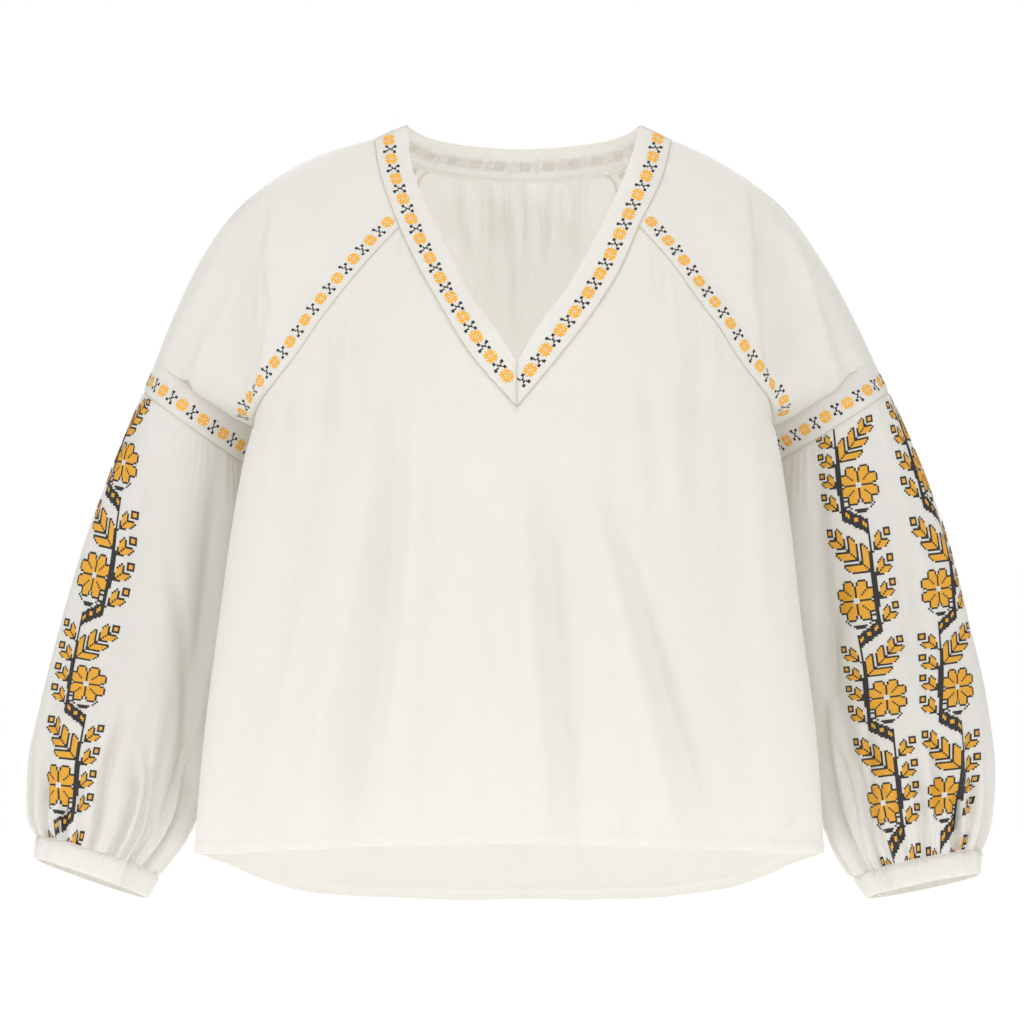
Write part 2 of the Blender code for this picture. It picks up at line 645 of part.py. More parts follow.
def back_grid():
    """The back, from the left seam to the right one as seen from the front."""
    across = np.linspace(0, 1, BACK_COLUMNS + 1)
    share_low, share_high = BACK_CORNER[LEFT], BACK_CORNER[RIGHT]
    neck = back_neck_edge(share_low + (share_high - share_low) * across, "low")
    rows, edges = [], []
    for share in RAGLAN_ROWS:
        ends = [back_raglan(side, np.array(share)) for side in (LEFT, RIGHT)]
        turn_left = 360 - float(along(BACK_RAGLAN, "turn", share))
        turn_right = float(along(BACK_RAGLAN, "turn", share))
        turn = turn_left + (turn_right - turn_left) * across
        middle = BACK_TOP - BACK_DROP * share
        bow = 1 - (2 * across - 1) ** 2
        level = (ends[0][2] + (ends[1][2] - ends[0][2]) * across) / MM
        level = level + (middle - (ends[0][2] + ends[1][2]) / 2 / MM) * bow
        row = skin(np.where(turn > 180, turn - 360, turn), level)
        row += (ends[0] - row[0]) * ((1 - across) ** 4)[:, None]
        row += (ends[1] - row[-1]) * (across ** 4)[:, None]
        if share == 0:
            shift = neck - row
        row += shift * (1 - ease(share, 0.0, 0.5))
        rows.append(row)
        edges.append([seam_facing(side, share, BACK_RAGLAN) for side in (LEFT, RIGHT)])
    arm_low = BACK_RAGLAN[-1].height
    for share in BODY_ROWS[1:]:
        end_turn = float(along(SIDE_SEAM, "turn", arm_low + (SIDE_HEM - arm_low) * share))
        turn = (360 - end_turn) + (2 * end_turn - 360) * across
        turn = np.where(turn > 180, turn - 360, turn)
        hem = along(HEM, "height", np.abs(turn))
        level = rows[len(RAGLAN_ROWS) - 1][:, 2] / MM
        level = level + (hem - level) * share
        rows.append(skin(turn, level))
        edges.append(skin_facing(turn[[0, -1]], level[[0, -1]]))
    grid, edges = np.array(rows), np.array(edges)
    facing = grid_normals(grid, BODY_AXIS)
    facing[0] = back_band_facing(share_low + (share_high - share_low) * across)
    facing[:, 0], facing[:, -1] = edges[:, 0], edges[:, 1]
    return grid, facing


def gather_back(grid, facing):
    """Press the gathers below the neckband's back into the cloth."""
    across = grid[..., 0] / MM - 8
    fall = BACK_TOP - grid[..., 2] / MM
    strength = ease(fall, 0, 14) * (1 - 0.85 * ease(fall, 30, 170))
    strength = strength * (1 - ease(np.abs(across), BACK_GATHER_SPAN - 14, BACK_GATHER_SPAN))
    wave = np.cos(across / BACK_GATHER_SPAN * math.pi * BACK_GATHERS / 2)
    return grid + facing * (wave * strength * BACK_GATHER_DEPTH)[..., None]


def make_back():
    grid, facing = back_grid()
    away = 1 - ease(np.abs(np.linspace(-1, 1, BACK_COLUMNS + 1)), FOLD_FADE, 1.0)
    depth = fold_depth(BACK_FOLDS, grid[..., 0], grid[..., 2]) * away
    grid = grid - facing * depth[..., None]
    grid = gather_back(grid, facing)
    grid = pull_in(grid, facing, ("first_row", "first_column", "last_column"))
    return wall("back", [(grid, facing, False)], CLOTH, CLOTH_COLOUR)


def cap_grid(side):
    """The upper sleeve, from the neckband to the seam across the sleeve."""
    stations = RAGLAN_ROWS + [(UNDERARM + CROSS_SEAM) / 2, CROSS_SEAM]
    grid = np.array([sleeve_ring(side, at, CAP_COLUMNS) for at in stations])
    top, top_facing = neck_row(side, CAP_COLUMNS)
    fade = 1 - ease(np.array(stations), 0.0, 0.42)
    grid = grid + (top - grid[0])[None] * fade[:, None, None]
    facing = grid_normals(grid, grid.mean(axis=1, keepdims=True))
    facing[0] = top_facing
    facing[-1] = ring_normals(grid[-1:, :-1])[0][list(range(CAP_COLUMNS)) + [0]]
    shares = np.array(RAGLAN_ROWS[1:])
    free = ease(shares, FREE_FROM, FREE_AT)[:, None]
    for column, table in ((0, FRONT_RAGLAN[side]), (-1, BACK_RAGLAN)):
        own = facing[1:len(shares) + 1, column]
        facing[1:len(shares) + 1, column] = unit(
            own * free + seam_facing(side, shares, table) * (1 - free))
    return grid, facing


def make_cap(side, name):
    grid, facing = cap_grid(side)
    rings = len(RAGLAN_ROWS) - 1
    grid = press_drape(side, grid, facing)
    grid = pull_in(grid, facing, ("first_row", "last_row"))
    seam = pull_in(grid[:rings], facing[:rings], ("first_column", "last_column"))
    grid = np.concatenate([seam, grid[rings:]])
    return wall(name, [(grid, facing, False)], CLOTH, CLOTH_COLOUR)


def pleat_rings(side, grid, stations):
    """Press pleats into the rings, growing towards the cuff, and the sleeve's long folds."""
    columns = grid.shape[1]
    around = np.arange(columns) / columns
    facing = ring_normals(grid)
    strength = 0.12 + 0.88 * ease(stations, 1.55, 2.05)
    strength = strength * (1 - 0.3 * ease(stations, 2.06, 2.10))
    uneven = 0.75 + 0.25 * np.sin(2 * math.pi * 3 * around + side)
    wave = np.cos(2 * math.pi * SLEEVE_PLEATS * around) * uneven
    depth = -strength[:, None] * wave[None] * PLEAT_DEPTH
    body = ease(stations, 1.15, 1.6) * (1 - ease(stations, 1.9, 2.08))
    for fold in SLEEVE_FOLDS:
        shape = np.exp(-((around - fold.around) / fold.width) ** 2)
        depth = depth + body[:, None] * shape[None] * fold.depth * MM
    return grid - facing * depth[..., None], facing


def make_lower_sleeve(side, name):
    """The balloon of the sleeve, from the seam across it down to its gathers."""
    stations = np.array(SLEEVE_ROWS)
    grid = np.array([sleeve_ring(side, at, SLEEVE_COLUMNS)[:-1] for at in stations])
    grid, facing = pleat_rings(side, grid, stations)
    grid = draw_rings(grid, (0, -1))
    return wall(name, [(grid, facing, True)], CLOTH, CLOTH_COLOUR)


def make_cuff(side, name):
    """The narrow elastic cuff, a short tube below the gathers."""
    stations = np.linspace(GATHER_SEAM, CUFF_END, 3)
    grid = np.array([sleeve_ring(side, at, CUFF_COLUMNS)[:-1] for at in stations])
    facing = ring_normals(grid)
    grid = draw_rings(grid, (0,))
    return wall(name, [(grid, facing, True)], BAND_CLOTH, BAND_COLOUR)


def make_front_band(side, name):
    """Half of the neckband's front, from the shoulder to the mitred point of the V."""
    corner = RAGLAN_CORNER[side]
    upper = list(np.linspace(0, corner, CAP_COLUMNS // 2 + 1))
    panel_rows = [TIP_ROW] + RAGLAN_ROWS[1:-1]
    lower = [corner + (1 - corner) * share / panel_rows[-1] for share in panel_rows]
    shares = np.array(upper + lower)
    inner, outer = neck_edge(side, shares, "inner"), neck_edge(side, shares, "outer")
    grid = np.stack([inner, (inner + outer) / 2, outer], axis=1)
    facing = np.repeat(front_band_facing(side, shares)[:, None], 3, axis=1)
    grid = pull_in(grid, facing, ("first_row", "last_column"))
    grid[-1, :, 0] += side * SEAM_GAP / 2
    return wall(name, [(grid, facing, False)], BAND_CLOTH, BAND_COLOUR)


def make_back_band():
    """The neckband's back, from shoulder to shoulder."""
    half = CAP_COLUMNS // 2
    left = np.linspace(0, BACK_CORNER[LEFT], half + 1)
    middle = np.linspace(BACK_CORNER[LEFT], BACK_CORNER[RIGHT], BACK_COLUMNS + 1)
    right = np.linspace(BACK_CORNER[RIGHT], 1, half + 1)
    shares = np.concatenate([left, middle[1:], right[1:]])
    top, low = back_neck_edge(shares, "top"), back_neck_edge(shares, "low")
    grid = np.stack([top, (top + low) / 2, low], axis=1)
    facing = np.repeat(back_band_facing(shares)[:, None], 3, axis=1)
    grid = pull_in(grid, facing, ("first_row", "last_row", "last_column"))
    return wall("neckband_back", [(grid, facing, False)], BAND_CLOTH, BAND_COLOUR)


def main():
    clear_scene()
    make_front()
    make_back()
    make_back_band()
    for side, word in ((LEFT, "left"), (RIGHT, "right")):
        make_front_band(side, "neckband_front_" + word)
        make_cap(side, "upper_sleeve_" + word)
        make_lower_sleeve(side, "lower_sleeve_" + word)
        make_cuff(side, "cuff_" + word)


main()
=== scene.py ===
# The looks of the embroidered folk blouse: thin cloth, sewing and cross stitch on the part's form.
# Metres, +Z up, front towards -Y. The tables and form functions repeat those of the part's source.

import math
from collections import namedtuple

import bpy
import numpy as np
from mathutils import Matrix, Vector
from mathutils.bvhtree import BVHTree

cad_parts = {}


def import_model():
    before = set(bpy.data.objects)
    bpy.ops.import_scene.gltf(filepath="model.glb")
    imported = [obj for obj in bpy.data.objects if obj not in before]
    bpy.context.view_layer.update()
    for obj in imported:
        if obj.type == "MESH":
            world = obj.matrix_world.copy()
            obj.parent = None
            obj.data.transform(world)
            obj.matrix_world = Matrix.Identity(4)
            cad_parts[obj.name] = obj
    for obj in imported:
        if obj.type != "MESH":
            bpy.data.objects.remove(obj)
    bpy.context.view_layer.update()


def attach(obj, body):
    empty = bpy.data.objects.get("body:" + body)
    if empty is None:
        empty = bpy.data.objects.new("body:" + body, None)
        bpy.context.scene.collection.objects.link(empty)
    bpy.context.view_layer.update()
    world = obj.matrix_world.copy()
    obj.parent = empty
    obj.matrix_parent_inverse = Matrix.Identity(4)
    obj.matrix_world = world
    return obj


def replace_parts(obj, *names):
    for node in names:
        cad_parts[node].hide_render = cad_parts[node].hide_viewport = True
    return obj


MM = 0.001
LEFT, RIGHT = -1, 1
WORDS = {LEFT: "left", RIGHT: "right"}
BODY_AXIS = np.array([0.0, 0.0, -0.3])

# How round the body is: 2 is an ellipse, and more is squarer
ROUNDNESS = 2.2

# Heights in millimetres: the hem at the side seam, how far below the V the first whole row of the
# front starts, and the middle of the back's top edge and how far its rows drop to the underarm
SIDE_HEM = -599
V_CLEARANCE = 14
BACK_TOP, BACK_DROP = -18, 230

# How the sleeve leaves the seams: it lies flat on the body down to the first share of the seam,
# hangs free from the second, and splays outwards at the underarm by this angle in degrees
FREE_FROM, FREE_AT, UNDERARM_SPLAY = 0.66, 0.94, 48

# The share of a panel's width where folds fade out, so that neighbours still meet at the seam
FOLD_FADE = 0.84


def rows_of(kind, *rows):
    """A table: a named row for each tuple."""
    return [kind(*row) for row in rows]


# The body by height, in millimetres: half widths, where its widest line lies, depths from there
Section = namedtuple("Section", "height half_left half_right middle front back")
BODY = rows_of(
    Section,
    (-680, 276, 272, -30, 121, 146),
    (-600, 270, 265, -30, 121, 144),
    (-500, 261, 258, -30, 120, 141),
    (-400, 248, 245, -30, 121, 138),
    (-320, 237, 236, -30, 122, 136),
    (-265, 227, 228, -29, 121, 135),
    (-224, 217, 220, -26, 114, 135),
    (-165, 212, 213, -19, 97, 132),
    (-115, 209, 204, -12, 76, 127),
    (-70, 211, 205, -6, 53, 118),
    (-35, 209, 205, -2, 41, 106),
    (-20, 199, 197, -1, 36, 100),
    (-8, 172, 173, 0, 31, 93),
    (4, 142, 148, 0, 24, 86),
    (30, 100, 118, 0, 12, 70),
)

# The two front edges of the neckband from the shoulder down to the point of the V, in millimetres
NeckEdge = namedtuple("NeckEdge", "share inner_x inner_y inner_z outer_x outer_y outer_z")
NECK = {
    LEFT: rows_of(
        NeckEdge,
        (0.00, -90, 4, 22, -118, 4, 10),
        (0.14, -86, -16, -11, -113, -22, -18),
        (0.31, -71, -45, -55, -95, -54, -69),
        (0.46, -52, -72, -94, -79, -76, -103),
        (0.62, -36, -93, -127, -61, -97, -135),
        (0.80, -14, -113, -158, -35, -120, -178),
        (1.00, 4, -127, -186, 4, -139, -223),
    ),
    RIGHT: rows_of(
        NeckEdge,
        (0.00, 110, 4, 22, 137, 4, 9),
        (0.14, 103, -16, -3, 128, -21, -24),
        (0.31, 85, -44, -48, 107, -54, -68),
        (0.46, 66, -71, -87, 90, -77, -107),
        (0.62, 47, -93, -121, 67, -101, -144),
        (0.80, 25, -112, -151, 41, -120, -178),
        (1.00, 4, -127, -186, 4, -139, -223),
    ),
}
RAGLAN_CORNER = {LEFT: 0.31, RIGHT: 0.31}

# The back of the neckband from one shoulder to the other, in millimetres
BackNeckEdge = namedtuple("BackNeckEdge", "share top_x top_y top_z low_x low_y low_z")
BACK_NECK = rows_of(
    BackNeckEdge,
    (0.00, -90, 4, 22, -118, 4, 10),
    (0.10, -80, 31, 17, -102, 40, 3),
    (0.25, -57, 60, 12, -72, 74, -10),
    (0.50, 8, 81, 8, 8, 96, -18),
    (0.75, 76, 60, 12, 82, 74, -13),
    (0.90, 100, 31, 17, 118, 40, 1),
    (1.00, 110, 4, 22, 137, 4, 9),
)
BACK_CORNER = {LEFT: 0.25, RIGHT: 0.75}

# The raglan seams from the neckband to the underarm: height in millimetres and turn in degrees,
# where a turn of 0 is the centre front, 90 the side and 180 the centre back
SeamPoint = namedtuple("SeamPoint", "share height turn")
FRONT_RAGLAN = {
    LEFT: rows_of(
        SeamPoint,
        (0.00, -69, 25), (0.20, -106, 36), (0.45, -143, 46.5), (0.68, -183, 59), (0.90, -226, 86),
        (1.00, -240, 110),
    ),
    RIGHT: rows_of(
        SeamPoint,
        (0.00, -68, 29), (0.20, -105, 40.5), (0.45, -145, 51.5), (0.68, -184, 62.5), (0.90, -218, 84),
        (1.00, -240, 110),
    ),
}
BACK_RAGLAN = rows_of(
    SeamPoint,
    (0.00, -11, 153), (0.20, -50, 154), (0.45, -100, 143), (0.68, -150, 132), (0.90, -207, 119),
    (1.00, -240, 110),
)

# The side seam below the underarm, and the hem all round
SideSeam = namedtuple("SideSeam", "height turn")
SIDE_SEAM = rows_of(SideSeam, (-610, 91), (-400, 97), (-300, 104), (-240, 110))
Hem = namedtuple("Hem", "turn height")
HEM = rows_of(
    Hem,
    (0, -581), (35, -587), (60, -594), (91, SIDE_HEM), (114, -612), (126, -626), (140, -641),
    (160, -650), (180, -652),
)

# The sleeve by station: 0 at the neckband, 1 at the underarm, 1.1 at the seam across the sleeve,
# 2.1 where it is gathered into the cuff and 2.2 at the cuff's end. Millimetres and degrees.
# The outer line is the top of the shoulder and then the outside of the sleeve. The reaches say
# how far the cloth runs on from the seams and from the outer line before it turns.
Station = namedtuple(
    "Station", "at left_x left_z right_x right_z y seam_reach out_reach back_reach")
OUTER = rows_of(
    Station,
    (0.00, -118, 10, 137, 9, 4, 26, 26, 26),
    (0.20, -168, -5, 180, -11, 8, 34, 34, 40),
    (0.45, -226, -41, 228, -45, 15, 42, 48, 54),
    (0.68, -266, -92, 268, -98, 22, 36, 58, 60),
    (0.90, -294, -149, 298, -152, 29, 26, 66, 66),
    (1.00, -307, -180, 311, -178, 33, 48, 72, 74),
    (1.10, -318, -206, 325, -206, 35, 76, 76, 78),
    (1.26, -343, -265, 355, -273, 40, 78, 78, 80),
    (1.41, -365, -322, 379, -340, 43, 82, 82, 82),
    (1.60, -387, -393, 396, -407, 45, 84, 84, 84),
    (1.80, -406, -471, 410, -470, 42, 86, 86, 86),
    (1.95, -416, -532, 416, -532, 35, 80, 80, 80),
    (2.05, -415, -572, 412, -574, 26, 62, 62, 62),
    (2.10, -410, -589, 405, -601, 20, 45, 45, 45),
    (2.20, -411, -607, 402, -621, 13, 42, 42, 42),
)

# The underside of the sleeve below the underarm. Splay is how far its cloth first runs outwards,
# and tilt is how far the front of a ring stands above its back, both in degrees.
Under = namedtuple("Under", "at left_x left_z right_x right_z y splay tilt")
UNDER = rows_of(
    Under,
    (1.00, -205, -240, 206, -240, 25, 42, 0),
    (1.10, -223, -273, 226, -268, 36, 22, 0),
    (1.26, -227, -315, 229, -314, 42, 8, 0),
    (1.41, -231, -364, 233, -368, 46, 4, 0),
    (1.60, -240, -424, 240, -428, 48, 0, 0),
    (1.80, -248, -489, 249, -489, 45, 0, 2),
    (1.95, -263, -549, 262, -549, 38, 0, 6),
    (2.05, -281, -592, 279, -598, 28, 0, 10),
    (2.10, -303, -622, 294, -624, 20, 0, 12),
    (2.20, -313, -641, 304, -641, 13, 0, 12),
)
UNDERARM, CROSS_SEAM, GATHER_SEAM, CUFF_END = 1.0, 1.1, 2.1, 2.2

# Large folds of the body: a line from top to bottom in millimetres, its half width and its depth.
# A negative depth is a ridge. Front folds first, then similar ones on the back.
Fold = namedtuple("Fold", "top_x top_z low_x low_z width depth")
FRONT_FOLDS = rows_of(
    Fold,
    (-96, -220, -128, -600, 17, 8),
    (-122, -200, -172, -600, 20, -7),
    (-160, -190, -243, -600, 22, 6),
    (28, -250, 54, -600, 20, 6),
    (6, -250, 28, -600, 18, -5),
    (66, -260, 142, -600, 22, -6),
    (92, -330, 166, -600, 17, 7),
    (156, -150, 188, -600, 22, 5),
    (-70, -400, -66, -600, 22, 4),
)
BACK_FOLDS = rows_of(
    Fold,
    (-20, -60, -42, -660, 20, 8),
    (22, -60, 66, -660, 20, 7),
    (-62, -70, -112, -660, 22, -7),
    (64, -70, 122, -660, 22, 6),
    (2, -60, 10, -660, 18, -6),
    (-110, -200, -178, -660, 22, 6),
    (112, -200, 184, -660, 22, -6),
)

# The deep drape from each shoulder's tip, where the sleeve falls behind the chest: by height in
# millimetres, how far out it lies and how deep it is on the front and on the back
Drape = namedtuple("Drape", "height out depth back_out back_depth")
DRAPE = {
    LEFT: rows_of(
        Drape,
        (-230, 228, 0, 210, 0), (-190, 228, 8, 214, 5), (-150, 227, 15, 212, 8),
        (-100, 225, 15, 210, 8), (-62, 222, 9, 208, 4), (-34, 220, 0, 206, 0),
    ),
    RIGHT: rows_of(
        Drape,
        (-230, 230, 0, 212, 0), (-190, 228, 8, 214, 5), (-150, 225, 15, 212, 8),
        (-100, 218, 15, 208, 8), (-62, 215, 9, 206, 4), (-34, 212, 0, 204, 0),
    ),
}
DRAPE_INNER_WIDTH, DRAPE_OUTER_WIDTH = 8, 19

# Long folds of the lower sleeve: where round the ring they lie, as a share of the way round from
# the underside over the front, their width as such a share and their depth in millimetres. The
# pleats above the cuff have a depth of their own.
SleeveFold = namedtuple("SleeveFold", "around width depth")
SLEEVE_FOLDS = rows_of(
    SleeveFold,
    (0.13, 0.030, 7), (0.21, 0.030, -4), (0.30, 0.024, 4), (0.62, 0.030, 6), (0.74, 0.035, -5),
    (0.86, 0.030, 6),
)
PLEAT_DEPTH = 3.4 * MM

# Waves round each sleeve: pleats above the cuff, gathers below the cross seam and in the cuff
BROAD_PLEATS, SHARP_PLEATS, SEAM_GATHERS = 17, 31, 46
CUFF_GATHERS, BROAD_CUFF_GATHERS = 54, 21

# Gathers below the neckband's back: how many, how deep, how far they reach from the neck's middle,
# and where that is, in millimetres
BACK_GATHERS, BACK_GATHER_DEPTH, BACK_GATHER_SPAN = 9, 2.6 * MM, 64
NECK_MIDDLE = 8

# The first row of the front and the last one above the underarm, as shares of the raglan seam
TIP_ROW, LAST_RAGLAN_ROW = 0.012, 0.95


def along(table, column, at):
    """Read a column of a table between its rows, on a smooth curve that doesn't overshoot."""
    keys = np.array([row[0] for row in table], float)
    values = np.array([getattr(row, column) for row in table], float)
    steps = np.diff(keys)
    slopes = np.diff(values) / steps
    rates = np.zeros_like(values)
    rates[0], rates[-1] = slopes[0], slopes[-1]
    before, after = slopes[:-1], slopes[1:]
    same_way = before * after > 0
    rates[1:-1][same_way] = 2 * before[same_way] * after[same_way] / (before + after)[same_way]
    at = np.clip(np.asarray(at, float), keys[0], keys[-1])
    i = np.clip(np.searchsorted(keys, at) - 1, 0, len(steps) - 1)
    t = (at - keys[i]) / steps[i]
    start = (1 + 2 * t) * (1 - t) ** 2 * values[i] + t * (1 - t) ** 2 * steps[i] * rates[i]
    end = t * t * (3 - 2 * t) * values[i + 1] - t * t * (1 - t) * steps[i] * rates[i + 1]
    return start + end


def ease(value, low, high):
    """0 below low, 1 above high, and a soft step between."""
    t = np.clip((np.asarray(value, float) - low) / (high - low), 0, 1)
    return t * t * (3 - 2 * t)


def points(x, y, z):
    """Points from their coordinates, which may be single numbers or arrays."""
    return np.stack(np.broadcast_arrays(x, y, z), axis=-1)


def unit(vectors):
    """The same ways at a length of one."""
    return vectors / np.maximum(np.linalg.norm(vectors, axis=-1, keepdims=True), 1e-9)


def run_along(line):
    """How far each point of a line lies from its start, measured along it."""
    return np.concatenate([[0], np.cumsum(np.linalg.norm(np.diff(line, axis=0), axis=-1))])


def read_line(line, run, where):
    """Points of a line, or values that go with its points, at distances along it."""
    return np.stack([np.interp(where, run, line[:, k]) for k in range(3)], axis=-1)


def half_width(side, height):
    """Half width of the body at a height, both in millimetres."""
    return along(BODY, "half_" + WORDS[side], height)


def turn_at(x, height):
    """Turn in degrees of a front point from its distance to the middle, in millimetres."""
    side = RIGHT if x >= 0 else LEFT
    across = min(abs(x) / float(half_width(side, height)), 1.0)
    return side * math.degrees(math.asin(across ** (ROUNDNESS / 2)))


def skin(turn, height):
    """The outer face of the body's cloth. Turn is in degrees, negative on the left."""
    turn, height = np.broadcast_arrays(np.asarray(turn, float), np.asarray(height, float))
    sine, cosine = np.sin(np.radians(turn)), np.cos(np.radians(turn))
    half = np.where(turn < 0, half_width(LEFT, height), half_width(RIGHT, height))
    depth = np.where(cosine > 0, -along(BODY, "front", height), along(BODY, "back", height))
    x = np.sign(sine) * half * np.abs(sine) ** (2 / ROUNDNESS)
    y = along(BODY, "middle", height) + depth * np.abs(cosine) ** (2 / ROUNDNESS)
    return points(x, y, height) * MM


def fold_depth(folds, x, z):
    """How far the large folds press the cloth in at a place of the body, in metres."""
    total = np.zeros_like(x)
    for fold in folds:
        down = np.clip((fold.top_z - z / MM) / (fold.top_z - fold.low_z), 0, 1.2)
        middle = fold.top_x + (fold.low_x - fold.top_x) * down
        across = (x / MM - middle) / fold.width
        total += fold.depth * np.exp(-across ** 2) * ease(down, 0.0, 0.45)
    return total * MM


def neck_edge(side, share, edge):
    """A point on the inner or outer front edge of the neckband."""
    table = NECK[side]
    return points(*(along(table, edge + axis, share) for axis in ("_x", "_y", "_z"))) * MM


def back_neck_edge(share, edge):
    """A point on the top or low edge of the neckband's back."""
    return points(*(along(BACK_NECK, edge + axis, share) for axis in ("_x", "_y", "_z"))) * MM


def shoulder_facing(side):
    """The way that the neckband faces at the shoulder, where its front and back pieces meet."""
    across = neck_edge(side, np.array(0.0), "outer") - neck_edge(side, np.array(0.0), "inner")
    return unit(np.cross(across, [0.0, side, 0.0]) * [1, 0, 1])


def front_band_facing(side, shares):
    """The way that the neckband's front faces, square to its length and to its width."""
    ahead, behind = np.clip(shares + 0.01, 0, 1), np.clip(shares - 0.01, 0, 1)
    length = neck_edge(side, ahead, "outer") - neck_edge(side, behind, "outer")
    width = neck_edge(side, shares, "outer") - neck_edge(side, shares, "inner")
    facing = unit(np.cross(length, width) * side)
    facing[shares < 0.005] = shoulder_facing(side)
    facing[shares > 0.995] = unit(facing[shares > 0.995] * [0, 1, 1])
    return facing


def back_band_facing(shares):
    """The way that the neckband's back faces, square to its length and to its width."""
    ahead, behind = np.clip(shares + 0.01, 0, 1), np.clip(shares - 0.01, 0, 1)
    length = back_neck_edge(ahead, "low") - back_neck_edge(behind, "low")
    width = back_neck_edge(shares, "low") - back_neck_edge(shares, "top")
    facing = unit(np.cross(length, width))
    facing[shares < 0.005] = shoulder_facing(LEFT)
    facing[shares > 0.995] = shoulder_facing(RIGHT)
    return facing


def front_raglan(side, share):
    """The front raglan seam, starting exactly on the neckband's outer edge."""
    table = FRONT_RAGLAN[side]
    seam = skin(side * along(table, "turn", share), along(table, "height", share))
    start = skin(side * table[0].turn, table[0].height)
    shift = neck_edge(side, RAGLAN_CORNER[side], "outer") - start
    return seam + shift * (1 - ease(share, 0, 0.5))[..., None]


def back_raglan(side, share):
    """The back raglan seam, starting exactly on the neckband's low edge."""
    seam = skin(side * along(BACK_RAGLAN, "turn", share), along(BACK_RAGLAN, "height", share))
    start = skin(side * BACK_RAGLAN[0].turn, BACK_RAGLAN[0].height)
    shift = back_neck_edge(BACK_CORNER[side], "low") - start
    end_shift = skin(side * FRONT_RAGLAN[side][-1].turn, FRONT_RAGLAN[side][-1].height)
    end_shift = end_shift - skin(side * BACK_RAGLAN[-1].turn, BACK_RAGLAN[-1].height)
    near_end = ease(share, 0.6, 1.0)[..., None]
    return seam + shift * (1 - ease(share, 0, 0.5))[..., None] + end_shift * near_end


def bezier(start, start_reach, end_reach, end, t):
    """A cubic curve between two points, given the two points that it reaches for."""
    t = t[:, None]
    return (start * (1 - t) ** 3 + 3 * start_reach * t * (1 - t) ** 2
            + 3 * end_reach * t * t * (1 - t) + end * t ** 3)


def skin_facing(turn, height):
    """The way that the body's cloth faces. Turn is in degrees, negative on the left."""
    turn, height = np.asarray(turn, float), np.asarray(height, float)
    by_turn = skin(turn + 0.5, height) - skin(turn - 0.5, height)
    by_height = skin(turn, height + 1) - skin(turn, height - 1)
    return unit(np.cross(by_turn, by_height))


def seam_facing(side, share, table):
    """The way that the body's cloth faces at a raglan seam."""
    turn, height = side * along(table, "turn", share), along(table, "height", share)
    return skin_facing(turn, height)


def leaving(side, share, table, start, target, forward):
    """The way in which the sleeve's cloth first runs from a raglan seam."""
    facing = seam_facing(side, share, table)
    chord = target - start
    flat = unit(chord - facing * float(np.dot(chord, facing)))
    splay = math.radians(90 - UNDERARM_SPLAY * float(ease(share, 0.9, 1.0)))
    freed = np.array([side * math.sin(splay), forward * math.cos(splay), 0.0])
    free = float(ease(share, FREE_FROM, FREE_AT))
    return unit(flat * (1 - free) + freed * free)


def sleeve_point(table, side, at):
    """A point of the sleeve's outer line or of its underside at a station."""
    names = (WORDS[side] + "_x", "y", WORDS[side] + "_z")
    return points(*(along(table, name, at) for name in names)) * MM


def sleeve_ring(side, at, columns):
    """One row of the sleeve at a station: from the front seam over the outer line to the back."""
    ridge = sleeve_point(OUTER, side, at)
    seam_reach, out_reach, back_reach = (
        float(along(OUTER, name, at)) * MM for name in ("seam_reach", "out_reach", "back_reach"))
    if at < UNDERARM:
        start, end = front_raglan(side, np.array(at)), back_raglan(side, np.array(at))
        start_way = leaving(side, at, FRONT_RAGLAN[side], start, ridge, -1)
        end_way = leaving(side, at, BACK_RAGLAN, end, ridge, 1)
        ahead = np.array([0.0, -1.0, 0.0])
        end_reach = back_reach * (0.8 - 0.25 * float(ease(at, 0.5, 0.9)))
    else:
        start = sleeve_point(UNDER, side, at)
        corner = skin(side * FRONT_RAGLAN[side][-1].turn, FRONT_RAGLAN[side][-1].height)
        start = start + (corner - start) * (1 - float(ease(at, UNDERARM, CROSS_SEAM)))
        end = start
        splay, tilt = (math.radians(float(along(UNDER, name, at))) for name in ("splay", "tilt"))
        ahead = np.array([0.0, -math.cos(tilt), math.sin(tilt)])
        outward = unit(ridge - start)
        start_way = ahead * math.cos(splay) + outward * math.sin(splay)
        end_way = -ahead * math.cos(splay) + outward * math.sin(splay)
        end_reach = back_reach
    half = columns // 2
    t = np.linspace(0, 1, half + 1)
    front = bezier(start, start + start_way * seam_reach, ridge + ahead * out_reach, ridge, t)
    back = bezier(ridge, ridge - ahead * back_reach, end + end_way * end_reach, end, t)
    return np.concatenate([front, back[1:]])


def neck_row(side, columns):
    """The sleeve's top row along the neckband, from its front corner to its back one."""
    half = columns // 2
    front_shares = np.linspace(RAGLAN_CORNER[side], 0, half + 1)
    shoulder = 0.0 if side == LEFT else 1.0
    back_shares = np.linspace(shoulder, BACK_CORNER[side], half + 1)[1:]
    row = np.concatenate([
        neck_edge(side, front_shares, "outer"), back_neck_edge(back_shares, "low")])
    facing = np.concatenate([front_band_facing(side, front_shares), back_band_facing(back_shares)])
    return row, facing


